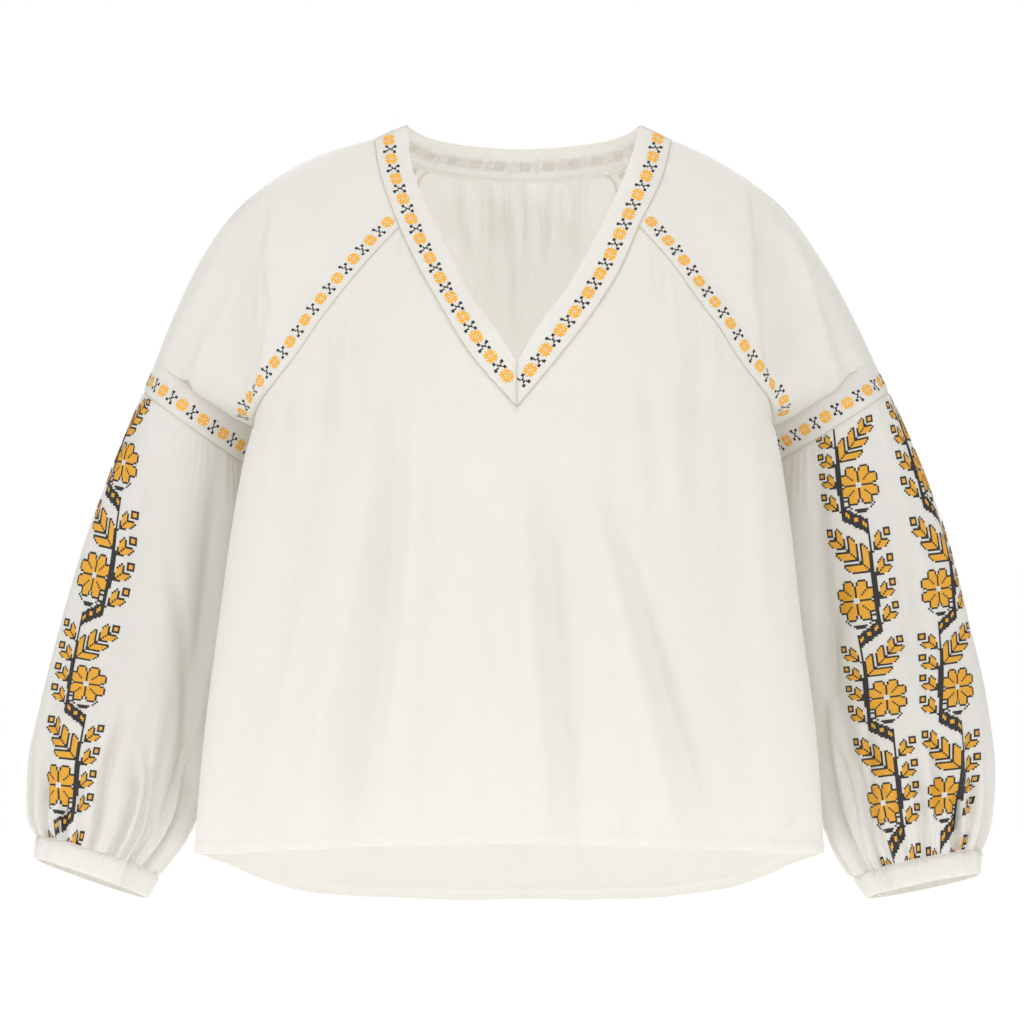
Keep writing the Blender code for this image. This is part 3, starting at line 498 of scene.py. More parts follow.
def press_drape(side, grid, facing):
    """Press in the drape that falls from the shoulder's tip, on the front and on the back."""
    x, z = grid[..., 0] * side / MM, grid[..., 2] / MM
    around = np.linspace(0, 1, grid.shape[1])[None, :]
    window = ease(around, 0.0, 0.10) * (1 - ease(around, 0.90, 1.0))
    table = DRAPE[side]
    front = x - along(table, "out", z)
    width = np.where(front < 0, DRAPE_INNER_WIDTH, DRAPE_OUTER_WIDTH)
    depth = along(table, "depth", z) * np.exp(-(front / width) ** 2) * (around < 0.5)
    back = (x - along(table, "back_out", z)) / DRAPE_OUTER_WIDTH
    depth = depth + along(table, "back_depth", z) * np.exp(-back ** 2) * (around > 0.5)
    return grid - facing * (depth * window * MM)[..., None]


def grid_normals(grid, inside):
    """The way each point of a grid faces, away from what lies inside."""
    normal = unit(np.cross(np.gradient(grid, axis=0), np.gradient(grid, axis=1)))
    return normal * np.sign((normal * (grid - inside)).sum(axis=-1).mean())


def ring_normals(grid):
    """Facing of each point of closed rings, kept within the ring's own plane."""
    ahead = np.roll(grid, -1, axis=1) - np.roll(grid, 1, axis=1)
    centre = grid.mean(axis=1, keepdims=True)
    spokes = grid - centre
    plane = unit(np.cross(spokes, np.roll(spokes, -1, axis=1)).mean(axis=1, keepdims=True))
    normal = unit(np.cross(ahead, np.broadcast_to(plane, grid.shape)))
    outward = np.sign((normal * spokes).sum(axis=-1, keepdims=True).mean(axis=1, keepdims=True))
    return normal * outward


def gather_back(grid, facing):
    """Press the gathers below the neckband's back into the cloth."""
    across = grid[..., 0] / MM - NECK_MIDDLE
    fall = BACK_TOP - grid[..., 2] / MM
    strength = ease(fall, 0, 14) * (1 - 0.85 * ease(fall, 30, 170))
    strength = strength * (1 - ease(np.abs(across), BACK_GATHER_SPAN - 14, BACK_GATHER_SPAN))
    wave = np.cos(across / BACK_GATHER_SPAN * math.pi * BACK_GATHERS / 2)
    return grid + facing * (wave * strength * BACK_GATHER_DEPTH)[..., None]


# The cloth to be seen, thinner and finer than the solids: its thickness and numbers of columns
SHEET = 0.9 * MM
BAND_SHEET = 1.3 * MM
HALF_COLUMNS, WHOLE_COLUMNS = 120, 190
CAP_SHEET_COLUMNS, SLEEVE_SHEET_COLUMNS, CUFF_SHEET_COLUMNS = 120, 360, 360

# Relief, in metres: the front's gathers at its raglans and below them with their pitch, the back's
# below its neckband with their two pitches in millimetres, the sleeves' below the cross seam and
# above the cuff, and the cuff's own
RAGLAN_GATHERS, LOWER_GATHERS, RAGLAN_GATHER_PITCH = 1.1 * MM, 0.8 * MM, 11 * MM
FINE_GATHERS, FINE_PITCH, BROAD_PITCH = 1.3 * MM, 3.6, 5.9
CROSS_GATHERS, DRAWN_GATHERS, ELASTIC_GATHERS = 0.6 * MM, 1.1 * MM, 0.95 * MM

# The hem's relief: sunk at its stitching, puffed below it, and its puckers with their pitch
HEM_SINK, HEM_PUFF, HEM_PUCKER, PUCKER_PITCH = 0.55 * MM, 0.35 * MM, 0.35 * MM, 9 * MM

# Numbers of rows beside the front's raglans and below the underarm, front and back. The last rows
# near the hem are shares of the way down.
RAGLAN_ROWS, FRONT_ROWS, BACK_ROWS = 62, 92, 84
LAST_EVEN_ROW = 0.97
NEAR_HEM = [0.976, 0.982, 0.987, 0.991, 0.9945, 0.9975, 1.0]

# The neckband's strips: shares across them, how crowned they are, and the groove at the stitching
BAND_COLUMNS = [0, 0.03, 0.08, 0.16, 0.3, 0.5, 0.7, 0.84, 0.92, 0.97, 1.0]
BAND_CROWN, BAND_GROOVE, BAND_PUCKER = 0.5 * MM, 0.25 * MM, 0.22 * MM

# The hem's turn-up, how far the lower sleeve is tucked in behind its cuff, and how deep the body's
# small creases are against their table
HEM_DEPTH = 10.5 * MM
CUFF_TUCK = 2.4 * MM
CREASE_STRENGTH = 1.45

# Small creases of the body: a line in millimetres, its half width and its depth, negative a ridge
Crease = namedtuple("Crease", "top_x top_z low_x low_z width depth")
FRONT_CREASES = rows_of(
    Crease,
    (-114, -160, -130, -400, 12, -3.0), (-130, -370, -168, -590, 12, -3.2),
    (-95, -200, -106, -400, 10, 4.0), (-106, -370, -127, -590, 10, 4.2),
    (-156, -140, -153, -270, 10, 3.4), (-153, -235, -205, -470, 10, 4.0),
    (-205, -440, -243, -580, 12, 3.4), (-67, -360, -61, -590, 14, 3.0), (-58, -230, -66, -420, 9, 2.4),
    (-82, -250, -84, -400, 8, -1.8), (4, -240, 27, -590, 13, -3.0), (27, -260, 50, -590, 11, 4.0),
    (-20, -290, -14, -500, 10, 2.0), (64, -300, 138, -590, 12, -3.2), (72, -265, 158, -565, 9, 5.0),
    (139, -145, 138, -310, 10, -1.5), (154, -150, 152, -350, 10, 2.8), (112, -190, 118, -330, 8, 2.4),
    (84, -200, 96, -330, 8, 1.8), (176, -215, 190, -440, 10, 3.0), (190, -400, 205, -590, 11, 3.6),
    (196, -250, 214, -420, 9, -2.4), (-186, -190, -194, -330, 8, 3.0),
    (-176, -330, -188, -470, 9, -2.4), (-122, -150, -126, -250, 7, 2.4),
    (-138, -145, -140, -240, 7, -2.0), (-236, -545, -196, -585, 6, 2.6),
    (-250, -520, -190, -565, 8, 1.8), (240, -560, 222, -590, 6, 2.4), (-30, -530, -22, -600, 8, 1.8),
    (96, -520, 104, -600, 8, 2.0), (-160, -540, -168, -600, 8, 1.8),
)
BACK_CREASES = rows_of(
    Crease,
    (-2, -20, -2, -150, 3, 3.2), (14, -20, 16, -120, 3, 2.4), (24, -22, 30, -90, 3, 2.6),
    (-40, -20, -42, -90, 3, 2.8), (-14, -20, -20, -70, 3, 2.2), (-8, -25, -28, -130, 4, 3.4),
    (48, -25, 52, -80, 4, 2.0), (-58, -25, -60, -70, 4, 1.8), (6, -60, 8, -220, 5, 2.6),
    (-40, -60, -62, -240, 7, 2.4), (34, -50, 54, -240, 7, 2.4), (-22, -100, -36, -260, 7, -1.8),
    (-80, -160, -104, -560, 9, 3.4), (84, -160, 118, -560, 9, 3.4), (-140, -220, -190, -620, 9, 3.4),
    (150, -220, 196, -620, 9, -3.0), (-30, -280, -52, -640, 9, 3.0), (44, -280, 70, -640, 9, -3.0),
    (-200, -260, -226, -600, 9, 3.0), (196, -280, 228, -600, 9, 3.0),
    (-112, -200, -146, -600, 10, -3.0), (116, -200, 152, -600, 10, 3.0), (6, -300, 10, -640, 10, -2.4),
)

# Creases of the sleeves: a line by share of the way round and by station, width and depth in mm
Bend = namedtuple("Bend", "top_around top_at low_around low_at width depth")
CAP_BENDS_BOTH = rows_of(
    Bend,
    (0.10, 0.30, 0.09, 0.62, 9, 2.0), (0.24, 0.16, 0.20, 0.44, 12, -2.4),
    (0.64, 0.3, 0.62, 1.0, 10, 4.0), (0.76, 0.3, 0.74, 1.0, 10, -3.4),
    (0.55, 0.35, 0.53, 1.02, 11, -3.0), (0.85, 0.35, 0.88, 0.95, 9, 3.4),
)
CAP_BENDS = {
    LEFT: CAP_BENDS_BOTH + rows_of(
        Bend,
        (0.400, 0.38, 0.200, 0.60, 8, 5.0), (0.235, 0.54, 0.120, 0.77, 8, 6.0),
        (0.160, 0.68, 0.035, 0.92, 8, 5.0), (0.420, 0.50, 0.205, 0.90, 11, 4.0),
        (0.300, 0.50, 0.250, 0.98, 10, -3.2), (0.300, 0.66, 0.290, 1.04, 8, 3.4),
        (0.380, 0.62, 0.380, 1.04, 9, -2.6),
    ),
    RIGHT: CAP_BENDS_BOTH + rows_of(
        Bend,
        (0.400, 0.34, 0.205, 0.54, 8, 5.0), (0.235, 0.48, 0.110, 0.76, 8, 6.0),
        (0.145, 0.66, 0.030, 0.91, 8, 5.0), (0.400, 0.50, 0.260, 0.88, 11, -4.0),
        (0.330, 0.52, 0.200, 0.96, 9, 4.0), (0.330, 0.68, 0.320, 1.04, 8, 3.4),
        (0.260, 0.76, 0.240, 1.04, 8, -2.8),
    ),
}
SLEEVE_BENDS_BOTH = rows_of(
    Bend,
    (0.085, 1.14, 0.070, 1.75, 8, -3.4), (0.050, 1.35, 0.045, 2.05, 8, -3.0),
    (0.42, 1.2, 0.43, 1.95, 10, -3.0), (0.60, 1.15, 0.61, 2.0, 10, 4.0),
    (0.70, 1.2, 0.72, 2.05, 10, -4.0), (0.80, 1.15, 0.82, 2.05, 9, 4.4), (0.91, 1.2, 0.92, 2.0, 9, 3.4),
    (0.52, 1.9, 0.52, 2.13, 5, 4.4), (0.66, 1.88, 0.66, 2.13, 5, 4.4),
    (0.77, 1.9, 0.77, 2.13, 4.5, 4.4), (0.88, 1.9, 0.88, 2.13, 4.5, 4.4),
)
SLEEVE_BENDS = {
    LEFT: SLEEVE_BENDS_BOTH + rows_of(
        Bend,
        (0.140, 1.10, 0.120, 1.75, 9, 4.0), (0.237, 1.38, 0.060, 2.05, 9, 6.0),
        (0.190, 1.45, 0.140, 2.00, 9, -3.6), (0.300, 1.15, 0.275, 1.70, 11, 3.4),
        (0.264, 1.78, 0.257, 2.13, 4.5, 5.5), (0.214, 1.90, 0.197, 2.13, 4, 5.0),
        (0.192, 1.86, 0.173, 2.13, 4, 5.5), (0.158, 1.90, 0.150, 2.13, 4, 5.0),
        (0.118, 1.84, 0.118, 2.13, 4, 5.0), (0.085, 1.92, 0.090, 2.13, 4, 4.5),
        (0.236, 1.93, 0.228, 2.13, 3.5, -3.0), (0.305, 1.96, 0.300, 2.13, 4, 4.0),
        (0.345, 1.98, 0.345, 2.13, 4, 3.0), (0.40, 1.95, 0.40, 2.13, 5, 4.0),
    ),
    RIGHT: SLEEVE_BENDS_BOTH + rows_of(
        Bend,
        (0.150, 1.10, 0.130, 1.75, 9, 4.0), (0.180, 1.40, 0.060, 2.05, 9, 6.0),
        (0.120, 1.45, 0.100, 2.00, 8, -3.4), (0.320, 1.12, 0.300, 1.70, 10, 3.4),
        (0.300, 1.86, 0.285, 2.13, 4.5, 4.6), (0.262, 1.90, 0.250, 2.13, 4, 4.6),
        (0.180, 1.82, 0.170, 2.13, 4, 5.0), (0.152, 1.90, 0.140, 2.13, 4, 5.0),
        (0.118, 1.84, 0.112, 2.13, 4, 5.0), (0.080, 1.92, 0.084, 2.13, 4, 4.5),
        (0.215, 1.95, 0.212, 2.13, 3.5, 3.6), (0.345, 1.96, 0.340, 2.13, 4, 4.0),
        (0.39, 1.95, 0.39, 2.13, 5, 4.0), (0.44, 1.93, 0.44, 2.13, 5, 4.0),
    ),
}


def crease_depth(creases, x, z):
    """How far the small creases press the cloth in, soft at both ends, in metres."""
    total = np.zeros_like(x)
    for crease in creases:
        way = np.array([crease.low_x - crease.top_x, crease.low_z - crease.top_z], float)
        length = np.hypot(*way)
        way /= length
        off_x, off_z = x / MM - crease.top_x, z / MM - crease.top_z
        down = (off_x * way[0] + off_z * way[1]) / length
        bow = 3.0 * np.sin(down * 5 + crease.top_x)
        across = off_x * way[1] - off_z * way[0] + bow
        shape = np.exp(-(across / crease.width) ** 2)
        total += crease.depth * shape * ease(down, -0.1, 0.3) * (1 - ease(down, 0.7, 1.15))
    return total * CREASE_STRENGTH * MM


def bend_depth(bends, around, at, girth):
    """How far a sleeve's creases press its cloth in. Girth is the way round, in metres."""
    total = np.zeros(np.broadcast_shapes(around.shape, at.shape))
    for bend in bends:
        down = (at - bend.top_at) / (bend.low_at - bend.top_at)
        middle = bend.top_around + (bend.low_around - bend.top_around) * down
        middle = middle + 0.006 * np.sin(down * 6 + bend.top_around * 40)
        across = (around - middle) * girth / (bend.width * MM)
        shape = np.exp(-across ** 2) * ease(down, -0.08, 0.3) * (1 - ease(down, 0.75, 1.12))
        total += bend.depth * shape
    return total * MM


def uneven(values, seed, pitch):
    """Smooth uneven numbers between -1 and 1 along a line of values, about one bump a pitch."""
    total = np.zeros_like(values, float)
    for part in range(1, 5):
        stretch = 1 + 0.37 * math.sin(seed * 1.7 + part * 2.1)
        total += np.sin(values / pitch * stretch * math.tau + seed * part * 1.3 + part) / 4
    return total


def swell(distance, middle, reach):
    """1 at a middle distance, fading softly to nothing over a reach, given in millimetres."""
    return np.exp(-((distance - middle * MM) / (reach * MM)) ** 2)


def edge_roll(distance, depth=1.3, reach=1.7):
    """How far the cloth rolls in at a seam, by the distance from it. Depth and reach are in mm."""
    return depth * MM * swell(distance, 0, reach)


def denser_ends(count, near=(0.0, 0.002, 0.005, 0.010, 0.017), both=True):
    """Shares from 0 to 1, closer together near the ends, where seams need it."""
    start = list(near)
    end = [1 - value for value in reversed(start)] if both else [1.0]
    low, high = start[-1], end[0]
    inner = np.linspace(low, high, count - len(start) - len(end) + 3)[1:-1]
    return np.array(start + list(inner) + end)


def grid_faces(rows, columns, closed, first=0):
    """Quads of a grid whose points are numbered row by row."""
    index = np.arange(rows * columns).reshape(rows, columns) + first
    after = np.roll(index, -1, axis=1) if closed else index[:, 1:]
    here = index if closed else index[:, :-1]
    quads = np.stack([here[:-1], here[1:], after[1:], after[:-1]], axis=-1)
    return quads.reshape(-1, 4)


def sheet_uv(grid):
    """Place of each point in the flat cloth, in metres, for the weave."""
    across = np.linalg.norm(np.diff(grid, axis=1), axis=-1).mean(axis=0)
    down = np.linalg.norm(np.diff(grid, axis=0), axis=-1).mean(axis=1)
    u = np.concatenate([[0], np.cumsum(across)])
    v = np.concatenate([[0], np.cumsum(down)])
    return np.stack(np.broadcast_arrays(u[None, :], -v[:, None]), axis=-1)


def new_object(name, verts, faces, finish, uv=None, sharp=True):
    """A mesh object with a material and the body that it rides on."""
    mesh = bpy.data.meshes.new(name)
    mesh.from_pydata(np.asarray(verts).tolist(), [], np.asarray(faces).tolist())
    if uv is not None:
        layer = mesh.uv_layers.new(name="cloth")
        corners = np.zeros(len(mesh.loops), int)
        mesh.loops.foreach_get("vertex_index", corners)
        layer.data.foreach_set("uv", uv[corners].astype(float).ravel())
    mesh.shade_smooth()
    if sharp:
        mesh.set_sharp_from_angle(angle=math.radians(60))
    made = bpy.data.objects.new(name, mesh)
    bpy.context.scene.collection.objects.link(made)
    mesh.materials.append(finish)
    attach(made, "root")
    return made


def shell(name, parts, thickness, finish):
    """Thin closed cloth from grids, their facings and whether they close. Close points are welded."""
    verts, normals, quads, uvs = [], [], [], []
    count = 0
    for grid, facing, closed in parts:
        rows, columns = grid.shape[:2]
        verts.append(grid.reshape(-1, 3))
        normals.append(facing.reshape(-1, 3))
        quads.append(grid_faces(rows, columns, closed, count))
        uvs.append(sheet_uv(grid).reshape(-1, 2) + [0.0, 0.37 * len(uvs)])
        count += rows * columns
    verts, normals = np.concatenate(verts), np.concatenate(normals)
    quads, uvs = np.concatenate(quads), np.concatenate(uvs)
    keys = np.round(verts / 2e-6).astype(np.int64)
    _, first, which = np.unique(keys, axis=0, return_index=True, return_inverse=True)
    which = which.reshape(-1)
    summed = np.zeros((len(first), 3))
    np.add.at(summed, which, normals)
    verts, normals, uvs, quads = verts[first], unit(summed), uvs[first], which[quads]
    span = np.cross(verts[quads[:, 1]] - verts[quads[:, 0]], verts[quads[:, 2]] - verts[quads[:, 0]])
    if (span * normals[quads[:, 0]]).sum() < 0:
        quads = quads[:, ::-1]
    total = len(verts)
    depth = thickness if np.isscalar(thickness) else thickness(verts)[:, None]
    inner = verts - normals * depth
    edges = np.concatenate([quads[:, [i, (i + 1) % 4]] for i in range(4)])
    ordered = np.sort(edges, axis=1)
    _, spot, number = np.unique(ordered, axis=0, return_index=True, return_counts=True)
    rim = edges[spot[number == 1]]
    rims = np.stack([rim[:, 1], rim[:, 0], rim[:, 0] + total, rim[:, 1] + total], axis=1)
    faces = np.concatenate([quads, quads[:, ::-1] + total, rims])
    made = new_object(name, np.concatenate([verts, inner]), faces, finish,
                      np.concatenate([uvs, uvs]))
    return made


def surface_tree(grid, closed):
    """A search tree over one grid's outer face, to lay sewing and stitches on it."""
    rows, columns = grid.shape[:2]
    faces = grid_faces(rows, columns, closed)
    return BVHTree.FromPolygons(grid.reshape(-1, 3).tolist(), faces.tolist())


def edge_distance(grid, edge):
    """Distance of each point from one edge of its grid, measured along the cloth, in metres."""
    axis = 0 if edge in ("first_row", "last_row") else 1
    if edge in ("last_row", "last_column"):
        grid = np.flip(grid, axis=axis)
    steps = np.linalg.norm(np.diff(grid, axis=axis), axis=-1)
    distance = np.cumsum(steps, axis=axis)
    zero = np.zeros_like(np.take(grid[..., 0], [0], axis=axis))
    distance = np.concatenate([zero, distance], axis=axis)
    return np.flip(distance, axis=axis) if edge in ("last_row", "last_column") else distance


def hem_depth(distance, along_edge, seed):
    """The turned-up hem: sunk at its stitching, puffed below it, with small slanted puckers."""
    line = HEM_SINK * swell(distance, HEM_DEPTH / MM, 1.3)
    puffed = HEM_PUFF * swell(distance, HEM_DEPTH / MM / 2, 3.6)
    lean = along_edge + distance * 0.7
    fade = 1 - ease(distance, HEM_DEPTH, 3 * HEM_DEPTH)
    return line - puffed + uneven(lean, seed, PUCKER_PITCH) * HEM_PUCKER * fade


def rows_to_hem(top, turns, shares):
    """Rows of a panel from its top heights to the hem. Turns gives a row's turns from its seam's."""
    rows, arm_low = [], BACK_RAGLAN[-1].height
    for share in shares:
        turn = turns(float(along(SIDE_SEAM, "turn", arm_low + (SIDE_HEM - arm_low) * share)))
        hem = along(HEM, "height", np.abs(turn))
        rows.append(skin(turn, top + (hem - top) * share))
    return rows


def back_turns(end_turn, across):
    """Turns of a row of the back from its left end over the centre back to its right end."""
    turn = 360 - end_turn + (2 * end_turn - 360) * across
    return np.where(turn > 180, turn - 360, turn)


def fine_half_front(side):
    """One half of the front as rows from the neckband to its hem, fine enough for its folds, creases
    and gathers.
    """
    corner = RAGLAN_CORNER[side]
    across = denser_ends(HALF_COLUMNS + 1)
    centre_turn = turn_at(NECK[side][-1].outer_x, NECK[side][-1].outer_z)
    rows = []
    shares = [TIP_ROW, 0.018, 0.026, 0.04, *np.linspace(0.055, LAST_RAGLAN_ROW, RAGLAN_ROWS)]
    for share in shares:
        along_neck = corner + (1 - corner) * share / shares[-1]
        inner = neck_edge(side, np.array(along_neck), "outer")
        x, z = inner[0] / MM, inner[2] / MM
        start_turn = centre_turn if share == shares[-1] else turn_at(x, z)
        outer = front_raglan(side, np.array(share))
        end_turn = side * float(along(FRONT_RAGLAN[side], "turn", share))
        row = skin(start_turn + (end_turn - start_turn) * across, z + (outer[2] / MM - z) * across)
        row += (inner - row[0]) * (1 - across)[:, None] + (outer - row[-1]) * across[:, None]
        rows.append(row)
    centre_low = NECK[side][-1].outer_z - V_CLEARANCE
    top = centre_low + (FRONT_RAGLAN[side][-1].height - centre_low) * across
    body = rows_to_hem(top, lambda seam_turn: centre_turn + (side * seam_turn - centre_turn) * across,
                       [*np.linspace(0, LAST_EVEN_ROW, FRONT_ROWS), *NEAR_HEM])
    between = [rows[-1] + (body[0] - rows[-1]) * t for t in (0.25, 0.5, 0.75)]
    return np.array(rows + between + body), len(shares)


def make_front_cloth(finish):
    """The front in one piece: two halves welded down the middle below the V."""
    parts = []
    for side in (LEFT, RIGHT):
        grid, joined = fine_half_front(side)
        facing = grid_normals(grid, BODY_AXIS)
        columns = grid.shape[1]
        away = 1 - ease(np.linspace(0, 1, columns), FOLD_FADE, 1.0)
        x, z = grid[..., 0], grid[..., 2]
        depth = fold_depth(FRONT_FOLDS, x, z) * away + crease_depth(FRONT_CREASES, x, z) * away
        seam = edge_distance(grid, "last_column")
        hem = edge_distance(grid, "last_row")
        raglan = np.zeros_like(x)
        raglan[:joined] = 1
        neck = edge_distance(grid, "first_column") + (1 - raglan)
        gather = uneven(x + z * 0.06 * side, 2.0 + side, RAGLAN_GATHER_PITCH)
        rise = z[joined:joined + 1] - z
        strength = raglan * (1 - ease(seam, 18 * MM, 75 * MM)) * ease(seam, 0.5 * MM, 5 * MM)
        below = ease(rise, 0.0, 0.002) * (1 - ease(rise, 0.0, 0.05)) * (1 - ease(seam, 0.02, 0.1))
        strength = strength * RAGLAN_GATHERS + below * (1 - raglan) * LOWER_GATHERS
        depth = depth + gather * strength
        depth = depth + edge_roll(seam) + edge_roll(neck, 1.5, 2.2)
        depth = depth + hem_depth(hem, x, 1.0 + side)
        grid = grid - facing * depth[..., None]
        if side == LEFT:
            grid = grid[:, ::-1]
        parts.append((grid, joined, side))
    centre = (parts[0][0][joined:, -1] + parts[1][0][joined:, 0]) / 2
    parts[0][0][joined:, -1], parts[1][0][joined:, 0] = centre, centre
    patches = [(grid, grid_normals(grid, BODY_AXIS), False) for grid, _, _ in parts]
    return shell("front_cloth", patches, SHEET, finish), parts


def make_back_cloth(finish):
    """The back, gathered into the neckband, with its long curved hem."""
    across = denser_ends(WHOLE_COLUMNS + 1, (0.0, 0.0015, 0.004, 0.008, 0.014))
    share_low, share_high = BACK_CORNER[LEFT], BACK_CORNER[RIGHT]
    neck = back_neck_edge(share_low + (share_high - share_low) * across, "low")
    rows = []
    shares = list(denser_ends(64, (0.0, 0.006, 0.014, 0.024, 0.04), False))
    for share in shares:
        ends = [back_raglan(side, np.array(share)) for side in (LEFT, RIGHT)]
        turn = back_turns(float(along(BACK_RAGLAN, "turn", share)), across)
        middle = BACK_TOP - BACK_DROP * share
        bow = 1 - (2 * across - 1) ** 2
        level = (ends[0][2] + (ends[1][2] - ends[0][2]) * across) / MM
        level = level + (middle - (ends[0][2] + ends[1][2]) / 2 / MM) * bow
        row = skin(turn, level)
        row += (ends[0] - row[0]) * ((1 - across) ** 4)[:, None]
        row += (ends[1] - row[-1]) * (across ** 4)[:, None]
        if share == 0:
            shift = neck - row
        row += shift * (1 - ease(share, 0.0, 0.5))
        rows.append(row)
    rows += rows_to_hem(rows[-1][:, 2] / MM, lambda seam_turn: back_turns(seam_turn, across),
                        [*np.linspace(0.012, LAST_EVEN_ROW, BACK_ROWS), *NEAR_HEM])
    grid = np.array(rows)
    facing = grid_normals(grid, BODY_AXIS)
    away = 1 - ease(np.abs(np.linspace(-1, 1, len(across))), FOLD_FADE, 1.0)
    x, z = grid[..., 0], grid[..., 2]
    depth = fold_depth(BACK_FOLDS, x, z) * away + crease_depth(BACK_CREASES, x, z) * away
    left, right = edge_distance(grid, "first_column"), edge_distance(grid, "last_column")
    top, hem = edge_distance(grid, "first_row"), edge_distance(grid, "last_row")
    depth = depth + edge_roll(left) + edge_roll(right) + edge_roll(top) + hem_depth(hem, x, 3.0)
    span = 1 - ease(np.abs(x / MM - NECK_MIDDLE), BACK_GATHER_SPAN - 10, BACK_GATHER_SPAN)
    pitch = x / MM - NECK_MIDDLE + 2.2 * np.sin(x / MM / 9)
    small = np.cos(pitch / FINE_PITCH * math.pi) * 0.5
    small = small + np.cos(pitch / BROAD_PITCH * math.pi + 1) * 0.6
    strength = ease(top, 0.5 * MM, 6 * MM) * (1 - ease(top, 14 * MM, 95 * MM)) * span
    depth = depth + small * strength * FINE_GATHERS
    grid = grid - facing * depth[..., None]
    grid = gather_back(grid, facing)
    made = shell("back_cloth", [(grid, grid_normals(grid, BODY_AXIS), False)], SHEET, finish)
    return made, grid


def make_cap_cloth(side, name, finish):
    """The upper sleeve with its drape, creases and rolled seams."""
    shares = denser_ends(86, (0.0, 0.006, 0.014, 0.024, 0.04), False)
    below = [1.02, 1.04, 1.06, 1.075, 1.086, 1.094, 1.1]
    stations = np.concatenate([shares, below])
    grid = np.array([sleeve_ring(side, at, CAP_SHEET_COLUMNS) for at in stations])
    top, _ = neck_row(side, CAP_SHEET_COLUMNS)
    fade = 1 - ease(stations, 0.0, 0.42)
    grid = grid + (top - grid[0])[None] * fade[:, None, None]
    facing = grid_normals(grid, grid.mean(axis=1, keepdims=True))
    grid = press_drape(side, grid, facing)
    around = np.linspace(0, 1, grid.shape[1])[None]
    girth = np.linalg.norm(np.diff(grid, axis=1), axis=-1).sum(axis=1)[:, None]
    depth = bend_depth(CAP_BENDS[side], around, stations[:, None], girth)
    rings = len(shares)
    front, back = edge_distance(grid, "first_column"), edge_distance(grid, "last_column")
    seams = edge_roll(front) + edge_roll(back)
    seams[rings:] = 0
    depth = depth * ease(np.minimum(front, back), 0, 20 * MM) + seams
    for edge in ("first_row", "last_row"):
        depth = depth + edge_roll(edge_distance(grid, edge))
    grid = grid - facing * depth[..., None]
    grid[rings:, -1] = grid[rings:, 0]
    facing = grid_normals(grid, grid.mean(axis=1, keepdims=True))
    return shell(name, [(grid, facing, False)], SHEET, finish), grid, rings


def make_sleeve_cloth(side, name, finish):
    """The balloon of the sleeve with uneven pleats above the cuff and long creases."""
    stations = np.concatenate([
        CROSS_SEAM + np.array([0.0, 0.004, 0.009, 0.016]),
        np.linspace(1.125, 1.95, 62), np.linspace(1.96, 2.088, 26),
        [2.092, 2.095, 2.098, 2.10, 2.104, 2.114]])
    columns = SLEEVE_SHEET_COLUMNS
    grid = np.array([sleeve_ring(side, at, columns)[:-1] for at in stations])
    around = (np.arange(columns) / columns)[None]
    at = stations[:, None]
    facing = ring_normals(grid)
    girth = np.linalg.norm(np.roll(grid, -1, axis=1) - grid, axis=-1).sum(axis=1)[:, None]
    strength = 0.05 + 0.95 * ease(at, 1.62, 2.06)
    strength = strength * (1 - 0.45 * ease(at, 2.07, 2.10))
    warp = around + 0.008 * np.sin(math.tau * 5 * around + side)
    warp = warp + 0.005 * np.sin(math.tau * 11 * around)
    broad = np.cos(math.tau * BROAD_PLEATS * warp + 0.6 * side)
    sharp = np.cos(math.tau * SHARP_PLEATS * warp + 2.0)
    level = 0.7 + 0.3 * np.sin(math.tau * 3 * around + side)
    wave = (broad * 0.75 + sharp * 0.45 * ease(at, 1.85, 2.05)) * level
    narrow = np.sign(wave) * np.abs(wave) ** 0.85
    depth = -strength * narrow * PLEAT_DEPTH
    body = ease(at, 1.15, 1.6) * (1 - ease(at, 1.9, 2.08))
    for fold in SLEEVE_FOLDS:
        depth = depth + body * np.exp(-((around - fold.around) / fold.width) ** 2) * fold.depth * MM
    depth = depth + bend_depth(SLEEVE_BENDS[side], around, at, girth)
    under = np.exp(-(np.minimum(around, 1 - around) / 0.11) ** 2)
    fine = np.cos(math.tau * SEAM_GATHERS * warp) * CROSS_GATHERS
    fine = fine * (1 - ease(at, 1.11, 1.30)) * (0.25 + under)
    depth = depth + fine * ease(at, 1.10, 1.115)
    drawn = cuff_wave(around) * ease(at, 2.0, 2.085) * (0.6 + 0.4 * level)
    depth = depth - drawn * DRAWN_GATHERS
    depth = depth + edge_roll(edge_distance(grid, "first_row"))
    depth = depth * (1 - ease(at, 2.093, 2.103)) + CUFF_TUCK * ease(at, 2.091, 2.103)
    grid = grid - facing * depth[..., None]
    facing = closed_normals(grid)
    made = shell(name, [(grid, facing, True)], SHEET, finish)
    return made, grid, stations


def closed_normals(grid):
    """The way each point of closed rings faces, outwards."""
    wide = np.concatenate([grid[:, -1:], grid, grid[:, :1]], axis=1)
    normal = unit(np.cross(np.gradient(wide, axis=0), np.gradient(wide, axis=1)))[:, 1:-1]
    return normal * np.sign((normal * (grid - grid.mean(axis=1, keepdims=True))).sum(axis=-1).mean())


def cuff_wave(around):
    """The fine uneven gathers that the elastic draws, by share of the way round."""
    warp = around + 0.006 * np.sin(math.tau * 7 * around) + 0.004 * np.sin(math.tau * 13 * around + 1)
    wave = np.cos(math.tau * CUFF_GATHERS * warp) * (0.65 + 0.35 * np.sin(math.tau * 9 * around))
    return wave + 0.6 * np.cos(math.tau * BROAD_CUFF_GATHERS * warp + 2)


